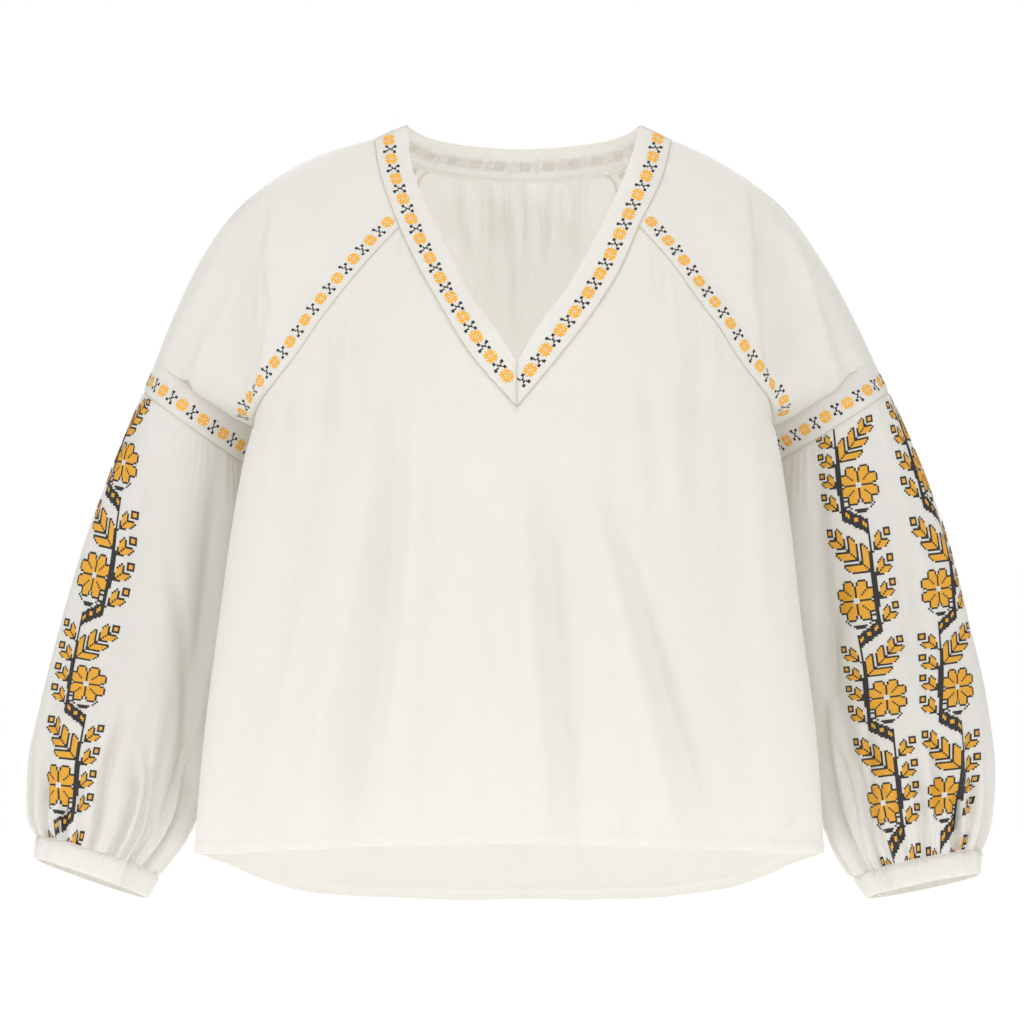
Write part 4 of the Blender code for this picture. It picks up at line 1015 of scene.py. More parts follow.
def make_cuff_cloth(side, name, finish):
    """The elastic cuff, drawn into fine upright gathers."""
    shares = denser_ends(16, (0.0, 0.03, 0.07))
    stations = GATHER_SEAM + (CUFF_END - GATHER_SEAM) * shares
    columns = CUFF_SHEET_COLUMNS
    grid = np.array([sleeve_ring(side, at, columns)[:-1] for at in stations])
    around = (np.arange(columns) / columns)[None]
    facing = ring_normals(grid)
    wave = cuff_wave(around)
    down = shares[:, None]
    strength = (1 - 0.35 * ease(down, 0.0, 0.5)) * (1 - 0.3 * ease(down, 0.7, 1.0))
    top, low = edge_distance(grid, "first_row"), edge_distance(grid, "last_row")
    depth = -wave * strength * ELASTIC_GATHERS + edge_roll(top, 1.2, 1.8)
    depth = depth + edge_roll(low, 0.5, 1.2)
    grid = grid - facing * depth[..., None]
    along_cuff = unit(grid[-1] - grid[0])
    rise = cuff_wave(around + 0.003) * 0.35 + uneven(around, 2.0 + side, 0.13) * 0.5
    rise = rise * (1 - ease(down, 0, 0.3))
    grid = grid + along_cuff[None] * (rise * MM)[..., None]
    return shell(name, [(grid, closed_normals(grid), True)], BAND_SHEET, finish)


def band_cloth(name, inner, outer, facing, finish):
    """A strip of the neckband, lightly crowned, its two long edges turned under."""
    shares = np.array(BAND_COLUMNS)
    grid = inner[:, None] + (outer - inner)[:, None] * shares[None, :, None]
    width = np.linalg.norm(outer - inner, axis=-1)[:, None]
    distance = np.minimum(shares, 1 - shares)[None] * width
    lift = BAND_CROWN * ease(distance, 0, 3 * MM)
    lift = lift - BAND_GROOVE * swell(distance, 2.8, 0.7)
    run = run_along(outer)
    pucker = uneven(run, len(name), 11 * MM)[:, None] * BAND_PUCKER
    ends = np.minimum(run, run[-1] - run)[:, None]
    depth = edge_roll(ends, 0.5, 1.5) - lift - pucker * ease(distance, 0, 2 * MM)
    grid = grid - facing[:, None] * depth[..., None]
    facing = np.repeat(facing[:, None], len(shares), axis=1)
    return shell(name, [(grid, facing, False)], BAND_SHEET, finish), grid, facing


def make_band_cloths(finish):
    """The three strips of the neckband."""
    made, shares = {}, denser_ends(150, (0.0, 0.003, 0.007, 0.012))
    for side, word in WORDS.items():
        inner, outer = neck_edge(side, shares, "inner"), neck_edge(side, shares, "outer")
        facing = front_band_facing(side, shares)
        made[word] = band_cloth("neckband_cloth_" + word, inner, outer, facing, finish)
    top, low = back_neck_edge(shares, "top"), back_neck_edge(shares, "low")
    made["back"] = band_cloth("neckband_cloth_back", top, low, back_band_facing(shares), finish)
    return made


# Colours as linear red, green and blue, and the share of light that the cloth lets through
SEWING = (0.84, 0.79, 0.68, 1.0)
CLOTH_PALE = (0.895, 0.885, 0.862, 1.0)
CLOTH_WARM = (0.86, 0.84, 0.80, 1.0)
CLOTH_BEHIND = (0.90, 0.875, 0.82, 1.0)
LIGHT_THROUGH = 0.48
# The seam thread is darker than the cloth: a painted shadow line in each seam's groove
SEAM_SHADOW_LINE = (0.60, 0.52, 0.40, 1.0)
YELLOW_THREAD = (0.71, 0.34, 0.020, 1.0)
ORANGE_THREAD = (0.88, 0.42, 0.012, 1.0)
CHARCOAL_THREAD = (0.020, 0.018, 0.017, 1.0)
BLACK_THREAD = (0.014, 0.011, 0.012, 1.0)

# The weave: changes a metre across the threads and along them, and its relief
THREADS, SLUBS = 1100.0, 55.0
WEAVE_STRENGTH, WEAVE_HEIGHT = 0.28, 0.3 * MM


def set_inputs(node, values):
    """Set a shader node's inputs by their names or numbers."""
    for name, value in values.items():
        node.inputs[name].default_value = value


def new_finish(name, values):
    """A material whose main shader has the given inputs, and that shader."""
    made = bpy.data.materials.new(name)
    made.use_nodes = True
    shader = made.node_tree.nodes["Principled BSDF"]
    set_inputs(shader, values)
    return made, shader


def cloth_finish():
    """Thin slubby cotton and linen: threads as relief, a faint change of tone, light through it."""
    made, shader = new_finish("ivory_linen", {
        "Roughness": 0.85, "Specular IOR Level": 0.25, "Sheen Weight": 0.25, "Sheen Roughness": 0.5})
    nodes, links = made.node_tree.nodes, made.node_tree.links
    place = nodes.new("ShaderNodeTexCoord")
    threads = []
    for scale in ((THREADS, SLUBS, 1.0), (SLUBS, THREADS, 1.0)):
        stretch = nodes.new("ShaderNodeMapping")
        stretch.inputs["Scale"].default_value = scale
        links.new(place.outputs["UV"], stretch.inputs["Vector"])
        noise = nodes.new("ShaderNodeTexNoise")
        set_inputs(noise, {"Scale": 1.0, "Detail": 1.5})
        links.new(stretch.outputs["Vector"], noise.inputs["Vector"])
        threads.append(noise)
    joined = nodes.new("ShaderNodeMath")
    joined.operation = "ADD"
    links.new(threads[0].outputs["Fac"], joined.inputs[0])
    links.new(threads[1].outputs["Fac"], joined.inputs[1])
    relief = nodes.new("ShaderNodeBump")
    set_inputs(relief, {"Strength": WEAVE_STRENGTH, "Distance": WEAVE_HEIGHT})
    links.new(joined.outputs["Value"], relief.inputs["Height"])
    links.new(relief.outputs["Normal"], shader.inputs["Normal"])
    tone = nodes.new("ShaderNodeMix")
    tone.data_type = "RGBA"
    set_inputs(tone, {6: CLOTH_WARM, 7: CLOTH_PALE})
    spread = nodes.new("ShaderNodeMapRange")
    set_inputs(spread, {"From Min": 0.55, "From Max": 1.10})
    links.new(joined.outputs["Value"], spread.inputs["Value"])
    links.new(spread.outputs["Result"], tone.inputs[0])
    links.new(tone.outputs[2], shader.inputs["Base Color"])
    through, both = nodes.new("ShaderNodeBsdfTranslucent"), nodes.new("ShaderNodeMixShader")
    through.inputs["Color"].default_value = CLOTH_BEHIND
    both.inputs[0].default_value = LIGHT_THROUGH
    links.new(shader.outputs["BSDF"], both.inputs[1])
    links.new(through.outputs["BSDF"], both.inputs[2])
    links.new(both.outputs["Shader"], nodes["Material Output"].inputs["Surface"])
    return made


def thread_finish(name, colour, roughness=0.55, sheen=0.2):
    """Plain thread with a soft gloss."""
    values = {"Base Color": colour, "Roughness": roughness, "Sheen Weight": sheen}
    return new_finish(name, values)[0]


# The camera: its distance and height, and how wide a view it has at the blouse, in metres
CAMERA_DISTANCE, CAMERA_HEIGHT, VIEW_WIDTH = 3.55, -0.3095, 0.8755
SENSOR_WIDTH = 36.0

# The floor's height and half width, the sky and the lamps: place, target, size, power and colour
FLOOR_HEIGHT, FLOOR_HALF, FLOOR_GLOW = -1.05, 6, 0.6
WHITE = (1.0, 1.0, 1.0, 1.0)
SKY_STRENGTH, SKY_COLOUR = 0.625, (0.955, 0.975, 1.0, 1.0)
LAMP_COLOUR = (0.96, 0.978, 1.0)
LAMPS = [
    ("key", (-2.7, -1.6, 1.5), (0.0, 0.0, -0.2), 0.8, 21.0, LAMP_COLOUR),
    ("front", (-0.2, -3.1, 1.6), (0.0, 0.0, -0.05), 0.8, 12.0, LAMP_COLOUR),
    ("fill", (2.3, -2.1, 1.2), (0.0, 0.0, -0.2), 1.2, 12.0, LAMP_COLOUR),
    ("top", (0.1, -1.2, 1.9), (0.0, 0.05, -0.1), 0.9, 10.0, LAMP_COLOUR),
    ("behind", (0.0, 1.5, 1.5), (0.0, 0.1, -0.08), 0.8, 30.0, LAMP_COLOUR),
]


def make_camera():
    """The photograph's camera: level, straight ahead, with a long lens."""
    data = bpy.data.cameras.new("camera")
    data.sensor_width = SENSOR_WIDTH
    data.lens = SENSOR_WIDTH * CAMERA_DISTANCE / VIEW_WIDTH
    data.clip_end = 50.0
    camera = bpy.data.objects.new("camera", data)
    camera.location = (0.0, -CAMERA_DISTANCE, CAMERA_HEIGHT)
    camera.rotation_euler = (math.radians(90), 0.0, 0.0)
    bpy.context.scene.collection.objects.link(camera)
    bpy.context.scene.camera = camera


def make_light(name, place, target, size, power, colour):
    """A round soft lamp at a place, aimed at a target."""
    data = bpy.data.lights.new(name, "AREA")
    data.shape = "DISK"
    data.size, data.energy, data.color = size, power, colour
    light = bpy.data.objects.new(name, data)
    light.location = place
    aim = Vector(target) - Vector(place)
    light.rotation_euler = aim.to_track_quat("-Z", "Y").to_euler()
    light.visible_camera = False
    bpy.context.scene.collection.objects.link(light)


def make_studio():
    """A white room: a pale floor, an even sky and soft lamps in front, above and behind."""
    scene = bpy.context.scene
    scene.view_settings.view_transform = "Standard"
    world = bpy.data.worlds.new("studio")
    scene.world = world
    world.use_nodes = True
    nodes, links = world.node_tree.nodes, world.node_tree.links
    sky = nodes["Background"]
    set_inputs(sky, {"Color": SKY_COLOUR, "Strength": SKY_STRENGTH})
    seen = nodes.new("ShaderNodeBackground")
    set_inputs(seen, {"Color": WHITE, "Strength": 1.0})
    path, choice = nodes.new("ShaderNodeLightPath"), nodes.new("ShaderNodeMixShader")
    links.new(path.outputs["Is Camera Ray"], choice.inputs[0])
    links.new(sky.outputs["Background"], choice.inputs[1])
    links.new(seen.outputs["Background"], choice.inputs[2])
    links.new(choice.outputs["Shader"], nodes["World Output"].inputs["Surface"])
    mesh = bpy.data.meshes.new("floor")
    corners = ((-1, -1), (1, -1), (1, 1), (-1, 1))
    corners = [(x * FLOOR_HALF, y * FLOOR_HALF, FLOOR_HEIGHT) for x, y in corners]
    mesh.from_pydata(corners, [], [(0, 1, 2, 3)])
    floor = bpy.data.objects.new("floor", mesh)
    scene.collection.objects.link(floor)
    white, _ = new_finish("white_floor", {
        "Base Color": (0.9, 0.9, 0.9, 1.0), "Roughness": 1.0, "Specular IOR Level": 0.0,
        "Emission Color": WHITE, "Emission Strength": FLOOR_GLOW})
    mesh.materials.append(white)
    for lamp in LAMPS:
        make_light(*lamp)


# The cross stitch: its square, and how far it lies and stands above the cloth
STITCH = 1.664 * MM
STITCH_BASE, STITCH_HEIGHT = 0.16 * MM, 0.55 * MM

# A stitch's two threads: how high the lower one stands, and the upper one's half width and sides,
# as shares of the stitch. Its points: four corners, the lower thread's top, the upper one's two
# ends, its two sides and its crest.
UNDER_THREAD, TOP_THREAD_HALF, TOP_THREAD_SIDE = 0.75, 0.17, 0.55
STITCH_FACES = np.array([
    [0, 1, 4], [1, 2, 4], [2, 3, 4], [3, 0, 4], [5, 7, 9], [7, 6, 9], [6, 8, 9], [8, 5, 9]])

# The layout of a vine in stitches: its period, the stem's offset, the flower, spray and sprigs
PERIOD, STEM_OFFSET, FLOWER_REACH, FLOWER_DOWN = 56, 6, 10, 31
SPRAY_ROOT, SPRIG_ROOTS = 18, (9, 21, 33, 45)
FLOWER_LOBE, LOBE_WIDTH = 9, 5
VINE_HALF_WIDTH, RING_POINTS = 26, 200

# Where each vine runs: stitches down from its top, station, share of the way round the sleeve,
# and how far its rows lean from the sleeve's rings, as stations a stitch outwards
VineRow = namedtuple("VineRow", "down at around lean")
VINES = {
    "left_outer": (LEFT, -1, rows_of(
        VineRow,
        (-7, 1.10, 0.470, 0.0006), (20, 1.21, 0.436, 0.0006), (56, 1.358, 0.392, 0.0004),
        (84, 1.49, 0.366, 0.0002), (112, 1.625, 0.360, 0.0), (168, 1.848, 0.347, 0.0),
        (226, 2.094, 0.337, 0.0),
    )),
    "left_back": (LEFT, -1, rows_of(
        VineRow,
        (-7, 1.10, 0.640, 0.0003), (56, 1.358, 0.590, 0.0002), (112, 1.625, 0.570, 0.0),
        (168, 1.848, 0.557, 0.0), (226, 2.094, 0.550, 0.0),
    )),
    "right_front": (RIGHT, 1, rows_of(
        VineRow,
        (-5, 1.10, 0.240, 0.0010), (26, 1.22, 0.234, 0.0009), (56, 1.343, 0.227, 0.0004),
        (84, 1.475, 0.223, 0.0002), (112, 1.615, 0.225, 0.0), (168, 1.873, 0.210, 0.0),
        (226, 2.094, 0.198, 0.0),
    )),
    "right_outer": (RIGHT, 1, rows_of(
        VineRow,
        (-8, 1.10, 0.490, 0.0006), (20, 1.21, 0.450, 0.0006), (56, 1.358, 0.415, 0.0004),
        (84, 1.48, 0.394, 0.0002), (112, 1.608, 0.378, 0.0), (168, 1.873, 0.338, 0.0),
        (226, 2.094, 0.318, 0.0),
    )),
}

# Small charts for the neckband and seams, one letter a stitch. Half a chord is how far ahead and
# behind a place the line is read for its way.
SMALL_STITCH = 1.19 * MM
HALF_CHORD = 4 * MM
MOTIF_PITCH, MOTIF_HEIGHT = 11.1 * MM, 0.45 * MM
NECK_STRETCH = 1.2
ROSETTE = [
    "...Y.Y...",
    ".YYY.YYY.",
    ".YYYYYYY.",
    "YYY.Y.YYY",
    "..YY.YY..",
    "YYY.Y.YYY",
    ".YYYYYYY.",
    ".YYY.YYY.",
    "...Y.Y...",
]
BRANCH = [
    "......DD..",
    "DD....DD..",
    "DDD..D....",
    "...DDD....",
    "...D..DDDD",
    ".DD.....DD",
    ".DD.......",
]


def leaf_pair(cells, place, start, length, rounded=False):
    """Two slanted leaves on either side of a diagonal vein, outlined."""
    for swap in (False, True):
        for wide in range(0, 5):
            x = start + wide
            top = x + length - (1 if rounded and wide in (0, 4) else 0)
            for y in range(x + 1, top + 1):
                spot = (y, x) if swap else (x, y)
                cells[place(*spot)] = "D" if wide in (0, 4) else "Y"
            if 0 < wide < 4:
                spot = (top + 1, x) if swap else (x, top + 1)
                cells[place(*spot)] = "D"
    for x in range(start, start + 5):
        cells[place(x, x)] = "D"


def small_square(cells, place, x, y):
    """A square of two by two stitches with an outline."""
    for i in range(4):
        for j in range(4):
            inside = 0 < i < 3 and 0 < j < 3
            cells[place(x + i, y + j)] = "Y" if inside else "D"


def spray(cells, place):
    """The leaf spray: two pairs of leaves, a bud and a square on one diagonal vein."""
    leaf_pair(cells, place, 1, 9)
    leaf_pair(cells, place, 7, 7)
    leaf_pair(cells, place, 13, 5, True)
    for x in (6, 12, 18):
        cells[place(x, x)] = "D"
    small_square(cells, place, 19, 19)


def sprig(cells, place):
    """A sprig: a short vein, a bud of two leaves and a square."""
    leaf_pair(cells, place, 2, 4, True)
    cells[place(1, 1)] = "D"
    small_square(cells, place, 8, 8)


def flower(cells, place):
    """The large flower: four hearts with stepped lobes, dark lines between, a white star centre."""
    lobe = set()
    for a in range(1, FLOWER_LOBE + 1):
        for b in range(1, FLOWER_LOBE + 1):
            if (a <= LOBE_WIDTH or b <= LOBE_WIDTH) and (a, b) != (1, 1):
                if (a, b) not in ((1, 9), (9, 1), (1, 8), (8, 1)):
                    lobe.add((a, b))
    edge = set()
    for a, b in lobe:
        for spot in ((a + 1, b), (a, b + 1), (a, b)):
            if spot not in lobe:
                edge.add(spot)
    edge |= {(1, 8), (8, 1), (1, 9), (9, 1)} | {(k, k) for k in (3, 4, 5)}
    for across in (1, -1):
        for up in (1, -1):
            for a, b in lobe:
                cells[place(a * across, b * up)] = "Y"
            for a, b in edge:
                cells[place(a * across, b * up)] = "D"
    for k in range(2, 8):
        for spot in ((k, 0), (-k, 0), (0, k), (0, -k)):
            cells[place(*spot)] = "D"
    for spot in ((-5, -12), (-6, -11), (5, -12), (6, -11), (7, -10)):
        cells[place(*spot)] = "D"
    for a in range(-3, 4):
        cells[place(a, -13)] = "D"
        if abs(a) < 3:
            cells[place(a, -14)] = "D"


def vine_cells(first_side, last_row):
    """Every stitch of a vine as {(across, down): letter}. Its stem changes sides each period."""
    cells = {}
    for segment in range(0, last_row // PERIOD + 1):
        out = first_side if segment % 2 == 0 else -first_side
        stem = -out * STEM_OFFSET
        top = segment * PERIOD
        for root in SPRIG_ROOTS:
            sprig(cells, lambda x, y: (stem - out * x, top + root - y))
        centre = stem + out * FLOWER_REACH
        flower(cells, lambda a, b: (centre + out * a, top + FLOWER_DOWN - b))
        spray(cells, lambda x, y: (stem + out * x, top + SPRAY_ROOT - y))
        for i in range(4):
            for j in range(4):
                spot = (stem + out * (1 + i), top + FLOWER_DOWN + 8 + j)
                if 0 < i < 3 and 0 < j < 3:
                    cells.pop(spot, None)
                elif spot not in cells:
                    cells[spot] = "D"
        for row in range(-8 if segment == 0 else 0, 44):
            width = 1 if row < 10 else 2 if row < 18 or row >= 36 else 3
            for i in range(width):
                cells[(stem + out * (i - (width == 3)), top + row)] = "D"
        for column in range(0, 2 * STEM_OFFSET + 1):
            high = top + 42 + round(0.6 * column)
            for row in range(high, high + 7):
                bead = column % 4 in (2, 3) and row - high in (2, 3)
                cells[(stem + out * column, row)] = "Y" if bead else "D"
    return cells


def grid_place(grid, stations, at, around):
    """Points of a closed sleeve grid at given stations and shares of the way round."""
    rows = np.interp(at, stations, np.arange(len(stations)))
    low = np.clip(rows.astype(int), 0, len(stations) - 2)
    t = (rows - low)[..., None]
    columns = grid.shape[1]
    turn = (around % 1.0) * columns
    left = turn.astype(int) % columns
    right = (left + 1) % columns
    s = (turn - turn.astype(int))[..., None]
    upper = grid[low, left] * (1 - s) + grid[low, right] * s
    lower = grid[low + 1, left] * (1 - s) + grid[low + 1, right] * s
    return upper * (1 - t) + lower * t


def vine_corners(side, rows, grid, stations):
    """The stitch corners of a vine: a grid of points on the sleeve, and its range of stitches."""
    down = np.arange(rows[0].down, rows[-1].down + 1)
    across = np.arange(-VINE_HALF_WIDTH, VINE_HALF_WIDTH + 1)
    at_rows, around_rows, lean_rows = (along(rows, name, down) for name in ("at", "around", "lean"))
    girth_flat = 0.0
    corners = []
    for at, middle, lean in zip(at_rows, around_rows, lean_rows):
        ring = sleeve_ring(side, float(at), RING_POINTS)
        arc = run_along(ring)
        girth_flat = max(girth_flat, arc[-1])
        share = np.linspace(0, 1, len(arc))
        centre = np.interp(middle, share, arc)
        reach = centre + (across - 0.5) * STITCH * arc[-1] / girth_flat
        around = np.interp(reach % arc[-1], arc, share)
        level = np.clip(at + lean * (across - 0.5), CROSS_SEAM + 0.0035, GATHER_SEAM - 0.001)
        corners.append(grid_place(grid, stations, level, around))
    return np.array(corners), int(rows[0].down), -VINE_HALF_WIDTH


def stitch_mesh(name, quads, finish, height=STITCH_HEIGHT):
    """Raised cross stitches, one for each square of four corners."""
    quads = np.asarray(quads)
    facing = unit(np.cross(quads[:, 2] - quads[:, 0], quads[:, 3] - quads[:, 1]))
    centre = quads.mean(axis=1)
    base = quads + facing[:, None] * STITCH_BASE
    hump = centre + facing * height * UNDER_THREAD
    start = quads[:, 0] + facing * STITCH_BASE * 1.3
    end = quads[:, 2] + facing * STITCH_BASE * 1.3
    wing = (quads[:, 1] - quads[:, 3]) * TOP_THREAD_HALF
    rise = facing * height * TOP_THREAD_SIDE
    sides = (centre + wing + rise, centre - wing + rise)
    crest = centre + facing * height
    verts = np.stack([*(base[:, i] for i in range(4)), hump, start, end, *sides, crest], axis=1)
    faces = STITCH_FACES[None] + (np.arange(len(quads)) * 10)[:, None, None]
    return new_object(name, verts.reshape(-1, 3), faces.reshape(-1, 3), finish, sharp=False)


def away_from(quads, inside):
    """Turn squares of corners over so that they face away from what lies inside."""
    quads = np.asarray(quads)
    facing = np.cross(quads[:, 2] - quads[:, 0], quads[:, 3] - quads[:, 1])
    wrong = (facing * (quads.mean(axis=1) - inside)).sum(axis=-1) < 0
    quads[wrong] = quads[wrong][:, ::-1]
    return quads


def make_vines(sleeves, threads):
    """The vines down both sleeves, as one yellow and one dark piece each, by side."""
    made = {LEFT: [], RIGHT: []}
    for name, (side, first_side, rows) in VINES.items():
        grid, stations = sleeves[side]
        corners, first_row, first_column = vine_corners(side, rows, grid, stations)
        cells = vine_cells(first_side, int(rows[-1].down))
        squares = {"Y": [], "D": []}
        for (across, down), letter in cells.items():
            i, j = down - first_row, across - first_column
            if 0 <= i < corners.shape[0] - 1 and 0 <= j < corners.shape[1] - 1:
                squares[letter].append(corners[[i, i, i + 1, i + 1], [j, j + 1, j + 1, j]])
        centre = grid.mean(axis=(0, 1)) * [1, 1, 0]
        for letter, (word, finish, slot_name) in threads.items():
            quads = np.array(squares[letter])
            heart = quads.mean(axis=1) * [0, 0, 1] + centre
            quads = away_from(quads, heart)
            made[side].append(stitch_mesh("vine_" + name + "_" + word, quads, finish))
    return made


def chart_quads(chart, letter, centre, along_way, across_way, size, stretch):
    """Corner squares of a chart laid flat at a place, with its columns running across."""
    rows, columns = len(chart), len(chart[0])
    quads = []
    for i, line in enumerate(chart):
        for j, mark in enumerate(line):
            if mark != letter:
                continue
            spots = ((j, i), (j + 1, i), (j + 1, i + 1), (j, i + 1))
            quads.append([centre + across_way * (x - columns / 2) * size
                          + along_way * (y - rows / 2) * size * stretch for x, y in spots])
    return quads


def seam_line(grid, edge, distance, rows=None, values=None):
    """A line at a distance from one edge of a grid: its points, or there the values of a like grid."""
    away = edge_distance(grid, edge)
    grid = grid if values is None else values
    if edge in ("first_row", "last_row"):
        grid, away = np.swapaxes(grid, 0, 1), np.swapaxes(away, 0, 1)
    if edge in ("last_row", "last_column"):
        grid, away = grid[:, ::-1], away[:, ::-1]
    rows = slice(None) if rows is None else rows
    return np.array([read_line(row, run, distance) for run, row in zip(away[rows], grid[rows])])


def spaced(line, pitch, start):
    """Places a pitch apart along a line, from a start, with the way that the line runs there."""
    run = run_along(line)
    where = np.arange(start, run[-1], pitch)
    ahead = np.clip(where + HALF_CHORD, 0, run[-1])
    behind = np.clip(where - HALF_CHORD, 0, run[-1])
    spots, tips, tails = (read_line(line, run, at) for at in (where, ahead, behind))
    return spots, unit(tips - tails)


def motif_row(quads, line, tree, inside, start, trim, stretch, pitch=MOTIF_PITCH):
    """Lay rosettes and branches in turn along a line on the cloth."""
    length = run_along(line)[-1]
    spots, ways = spaced(line, pitch, start)
    for number, (spot, way) in enumerate(zip(spots, ways)):
        if start + number * pitch > length - trim:
            continue
        where, facing, _, _ = tree.find_nearest(Vector(spot))
        facing = np.array(facing)
        if np.dot(facing, spot - inside) < 0:
            facing = -facing
        across = unit(np.cross(way, facing))
        chart, letter = (ROSETTE, "Y") if number % 2 == 0 else (BRANCH, "D")
        for quad in chart_quads(chart, letter, np.array(where), way, across, SMALL_STITCH, stretch):
            landed = [np.array(tree.find_nearest(Vector(corner))[0]) for corner in quad]
            if np.linalg.norm(np.cross(landed[2] - landed[0], landed[3] - landed[1])) > 1e-7:
                quads[letter].append(landed if np.dot(np.cross(
                    landed[2] - landed[0], landed[3] - landed[1]), facing) > 0 else landed[::-1])


def make_motifs(name, rows, threads, stretch=1.0):
    """One yellow and one dark piece from rows of (line, tree, inside, start, trim)."""
    quads = {"Y": [], "D": []}
    for line, tree, inside, start, trim in rows:
        motif_row(quads, line, tree, inside, start, trim, stretch)
    made = []
    for letter, (word, finish, slot_name) in threads.items():
        made.append(stitch_mesh(name + "_" + word, quads[letter], finish, MOTIF_HEIGHT))
    return made


def cord(name, lines, finish, wide=0.36 * MM, high=0.28 * MM, step=1.5 * MM):
    """A thin thread without a break along each line of points and facings."""
    verts, faces = [], []
    for line, facing in lines:
        run = run_along(line)
        where = np.linspace(0, run[-1], int(run[-1] / step) + 2)
        spots = read_line(line, run, where)
        up = unit(read_line(facing, run, where))
        across = unit(np.cross(np.gradient(spots, axis=0), up)) * wide
        rows = np.stack([spots - across, spots + up * high, spots + across, spots - up * high], axis=1)
        quads = grid_faces(len(where), 4, True, len(verts))
        faces += [tuple(quad[::-1]) for quad in quads.tolist()]
        base = len(verts)
        last = base + 4 * len(where) - 4
        faces += [(base + 3, base + 2, base + 1, base), (last, last + 1, last + 2, last + 3)]
        verts += rows.reshape(-1, 3).tolist()
    return new_object(name, verts, faces, finish, sharp=False)


def dashes(name, lines, finish, length=2.7 * MM, gap=1.0 * MM, wide=0.26 * MM, high=0.22 * MM):
    """Rows of sewing stitches as short raised threads, along lines of points and facings."""
    verts, faces = [], []
    for line, facing in lines:
        run = run_along(line)
        for start in np.arange(gap / 2, run[-1] - length, length + gap):
            spots = read_line(line, run, start + length * np.array([0, 0.5, 1]))
            up = unit(read_line(facing, run, start + length / 2))
            across = unit(np.cross(spots[2] - spots[0], up)) * wide
            base = len(verts)
            verts += [spots[0] - up * 0.05 * MM, spots[2] - up * 0.05 * MM,
                      spots[1] + across, spots[1] - across, spots[1] + up * high]
            faces += [(base, base + 2, base + 4), (base + 2, base + 1, base + 4),
                      (base + 1, base + 3, base + 4), (base + 3, base, base + 4)]
    return new_object(name, verts, faces, finish, sharp=False)


# Sewing: how far topstitching and the darker thread in the seam, which paints the seam's shadow
# line, lie from it and above the cloth, and the motif rows' places along their seams
TOPSTITCH, IN_SEAM, SEWING_LIFT = 2.6 * MM, 0.25 * MM, 0.06 * MM
SEAM_MOTIFS, NECK_MOTIFS = 12.5 * MM, 0.58
RAGLAN_START, RAGLAN_TRIM = 9 * MM, 32 * MM
CROSS_START, CROSS_TRIM = 8 * MM, 6 * MM
NECK_START = {"left": 9 * MM, "right": 6 * MM, "back": 5 * MM}
NECK_TRIM = 6 * MM
NECK_INSIDE = np.array([0.0, 0.0, -0.16])

# Fields for the cut of a cloth piece, as far as it shows: width and length in metres, flat area in
# square metres, how the cloth is held, and the pieces that it hangs from or is sewn to. No piece's cut
# is given here.
Cut = namedtuple("Cut", "piece width length area held rests_on")


def band_line(grid, share):
    """A line along a neckband strip at a share of its width from its inner edge."""
    width = np.linalg.norm(np.diff(grid, axis=1), axis=-1)
    away = np.concatenate([np.zeros((len(grid), 1)), np.cumsum(width, axis=1)], axis=1)
    away = away / away[:, -1:]
    return np.array([read_line(row, run, share) for run, row in zip(away, grid)])


def sewn(grid, facing, edge, distance, rows=None, inside=0.0):
    """A line of sewing a hair above the cloth, or on its other face when its thickness is given."""
    line = seam_line(grid, edge, distance, rows)
    up = unit(seam_line(grid, edge, distance, rows, facing))
    if inside:
        return line - up * (inside + SEWING_LIFT), -up
    return line + up * SEWING_LIFT, up


def sew_body(fronts, back, thread):
    """Topstitching of the front's and the back's hems, on the back's inside too."""
    lines = [sewn(grid, grid_normals(grid, BODY_AXIS), "last_row", HEM_DEPTH) for grid, _, _ in fronts]
    facing = grid_normals(back, BODY_AXIS)
    behind = [sewn(back, facing, "last_row", HEM_DEPTH),
              sewn(back, facing, "last_row", HEM_DEPTH, inside=SHEET)]
    return {"front_cloth": [dashes("topstitching_front", lines, thread)],
            "back_cloth": [dashes("topstitching_back", behind, thread)]}


def sew_band(word, grid, facing, thread, seam_shadow_thread):
    """The seam thread, darker to paint the seam's shadow line, and topstitching along a neckband
    strip's outer edge, and the mitre below the V.
    """
    seams = [sewn(grid, facing, "last_column", IN_SEAM)]
    stitches = [sewn(grid, facing, "last_column", TOPSTITCH)]
    if word == "back":
        stitches.append(sewn(grid, facing, "last_column", IN_SEAM * 2, inside=BAND_SHEET))
    if word == "left":
        seams.append(sewn(grid, facing, "last_row", IN_SEAM))
    return [cord("seam_shadow_thread_neck_" + word, seams, seam_shadow_thread),
            dashes("topstitching_neck_" + word, stitches, thread)]


def sew_cap(word, grid, rings, thread, seam_shadow_thread):
    """Seam threads, darker to paint each seam's shadow line, and topstitching round an upper sleeve:
    both raglans and the seam across the sleeve.
    """
    facing = grid_normals(grid, grid.mean(axis=1, keepdims=True))
    seams, stitches = [], []
    for edge, rows in (("first_column", slice(0, rings)), ("last_column", slice(0, rings)),
                       ("last_row", None)):
        seams.append(sewn(grid, facing, edge, IN_SEAM, rows))
        stitches.append(sewn(grid, facing, edge, TOPSTITCH, rows))
    return [cord("seam_shadow_thread_sleeve_" + word, seams, seam_shadow_thread),
            dashes("topstitching_sleeve_" + word, stitches, thread)]


def cap_motifs(side, word, grid, rings, threads):
    """Rosettes and branches along an upper sleeve's seams."""
    tree, lines = surface_tree(grid, False), []
    for edge in ("first_column", "last_column"):
        line = seam_line(grid, edge, SEAM_MOTIFS, slice(0, rings))
        lines.append((line, tree, np.array([side * 0.19, 0.03, -0.16]), RAGLAN_START, RAGLAN_TRIM))
    line = seam_line(grid, "last_row", SEAM_MOTIFS)
    lines.append((line, tree, grid[-1].mean(axis=0), CROSS_START, CROSS_TRIM))
    return make_motifs("seam_motifs_" + word, lines, threads)


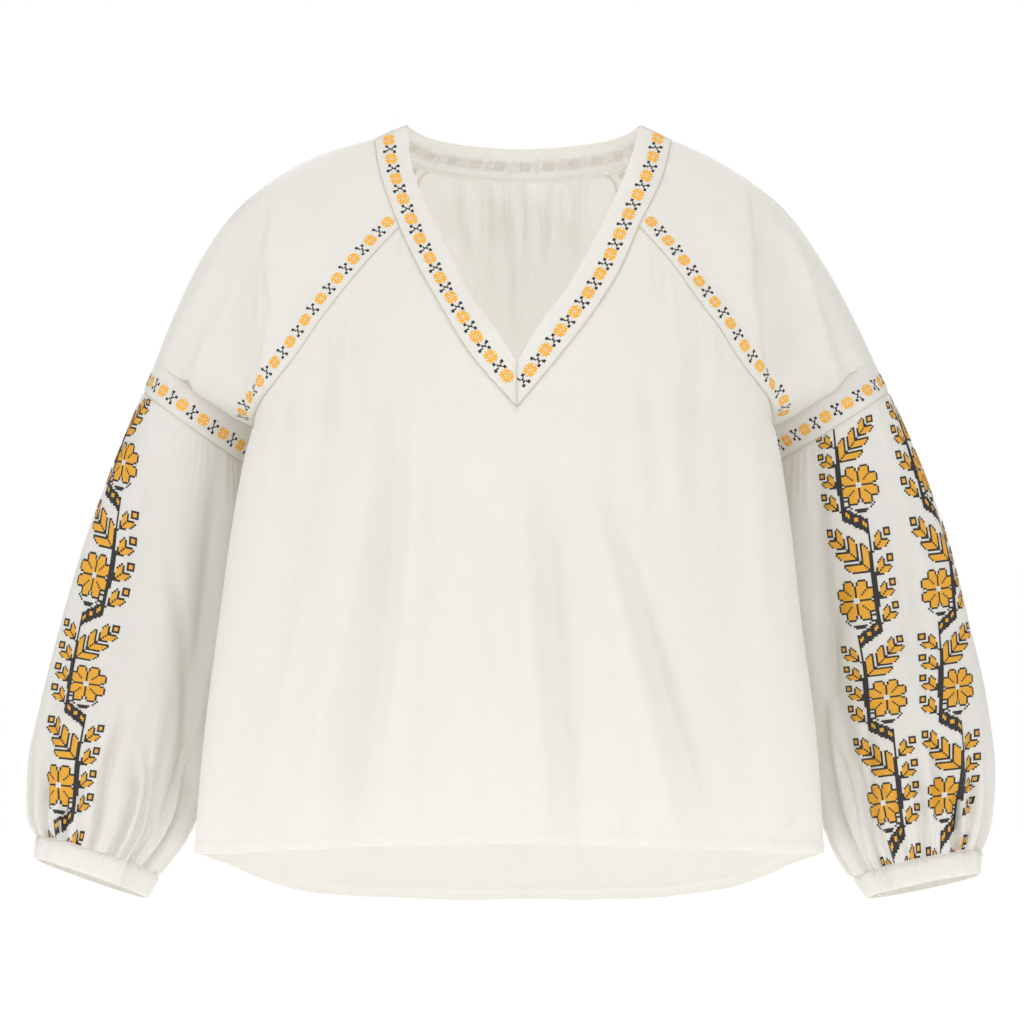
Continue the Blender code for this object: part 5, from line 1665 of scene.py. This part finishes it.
def band_motifs(word, grid, threads):
    """Rosettes and branches along a neckband strip."""
    line = band_line(grid, NECK_MOTIFS)
    row = (line, surface_tree(grid, False), NECK_INSIDE, NECK_START[word], NECK_TRIM)
    return make_motifs("neck_motifs_" + word, [row], threads, NECK_STRETCH)


def main():
    """Build the looks: cloth on each solid's form, sewing, embroidery, studio and camera."""
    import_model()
    cloth = cloth_finish()
    sewing = thread_finish("ivory_thread", SEWING)
    # A darker thread laid in the seams, as painted shade for the seams' shadow lines
    seam_shadow_thread = thread_finish("seam_shadow_thread", SEAM_SHADOW_LINE, 0.8, 0.0)
    vine_threads = {
        "Y": ("yellow", thread_finish("golden_thread", YELLOW_THREAD, 0.6, 0.0), "yellow_thread"),
        "D": ("dark", thread_finish("charcoal_thread", CHARCOAL_THREAD, 0.7, 0.0), "dark_thread")}
    motif_threads = {
        "Y": ("yellow", thread_finish("orange_thread", ORANGE_THREAD, 0.6, 0.0), "yellow_thread"),
        "D": ("dark", thread_finish("black_thread", BLACK_THREAD, 0.7, 0.0), "dark_thread")}
    front, fronts = make_front_cloth(cloth)
    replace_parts(front, "front")
    back, back_grid = make_back_cloth(cloth)
    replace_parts(back, "back")
    on_cloth = sew_body(fronts, back_grid, sewing)
    for word, (band, grid, facing) in make_band_cloths(cloth).items():
        node = "neckband_back" if word == "back" else "neckband_front_" + word
        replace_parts(band, node)
        on_cloth["neckband_cloth_" + word] = (sew_band(word, grid, facing, sewing, seam_shadow_thread)
                                              + band_motifs(word, grid, motif_threads))
    sleeves = {}
    for side, word in WORDS.items():
        cap, grid, rings = make_cap_cloth(side, "upper_sleeve_cloth_" + word, cloth)
        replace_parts(cap, "upper_sleeve_" + word)
        on_cloth["upper_sleeve_cloth_" + word] = (sew_cap(word, grid, rings, sewing, seam_shadow_thread)
                                                  + cap_motifs(side, word, grid, rings, motif_threads))
        sleeve, grid, stations = make_sleeve_cloth(side, "lower_sleeve_cloth_" + word, cloth)
        sleeves[side] = (grid, stations)
        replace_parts(sleeve, "lower_sleeve_" + word)
        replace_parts(make_cuff_cloth(side, "cuff_cloth_" + word, cloth), "cuff_" + word)
    for side, made in make_vines(sleeves, vine_threads).items():
        on_cloth["lower_sleeve_cloth_" + WORDS[side]] = made
    make_studio()
    make_camera()


main()
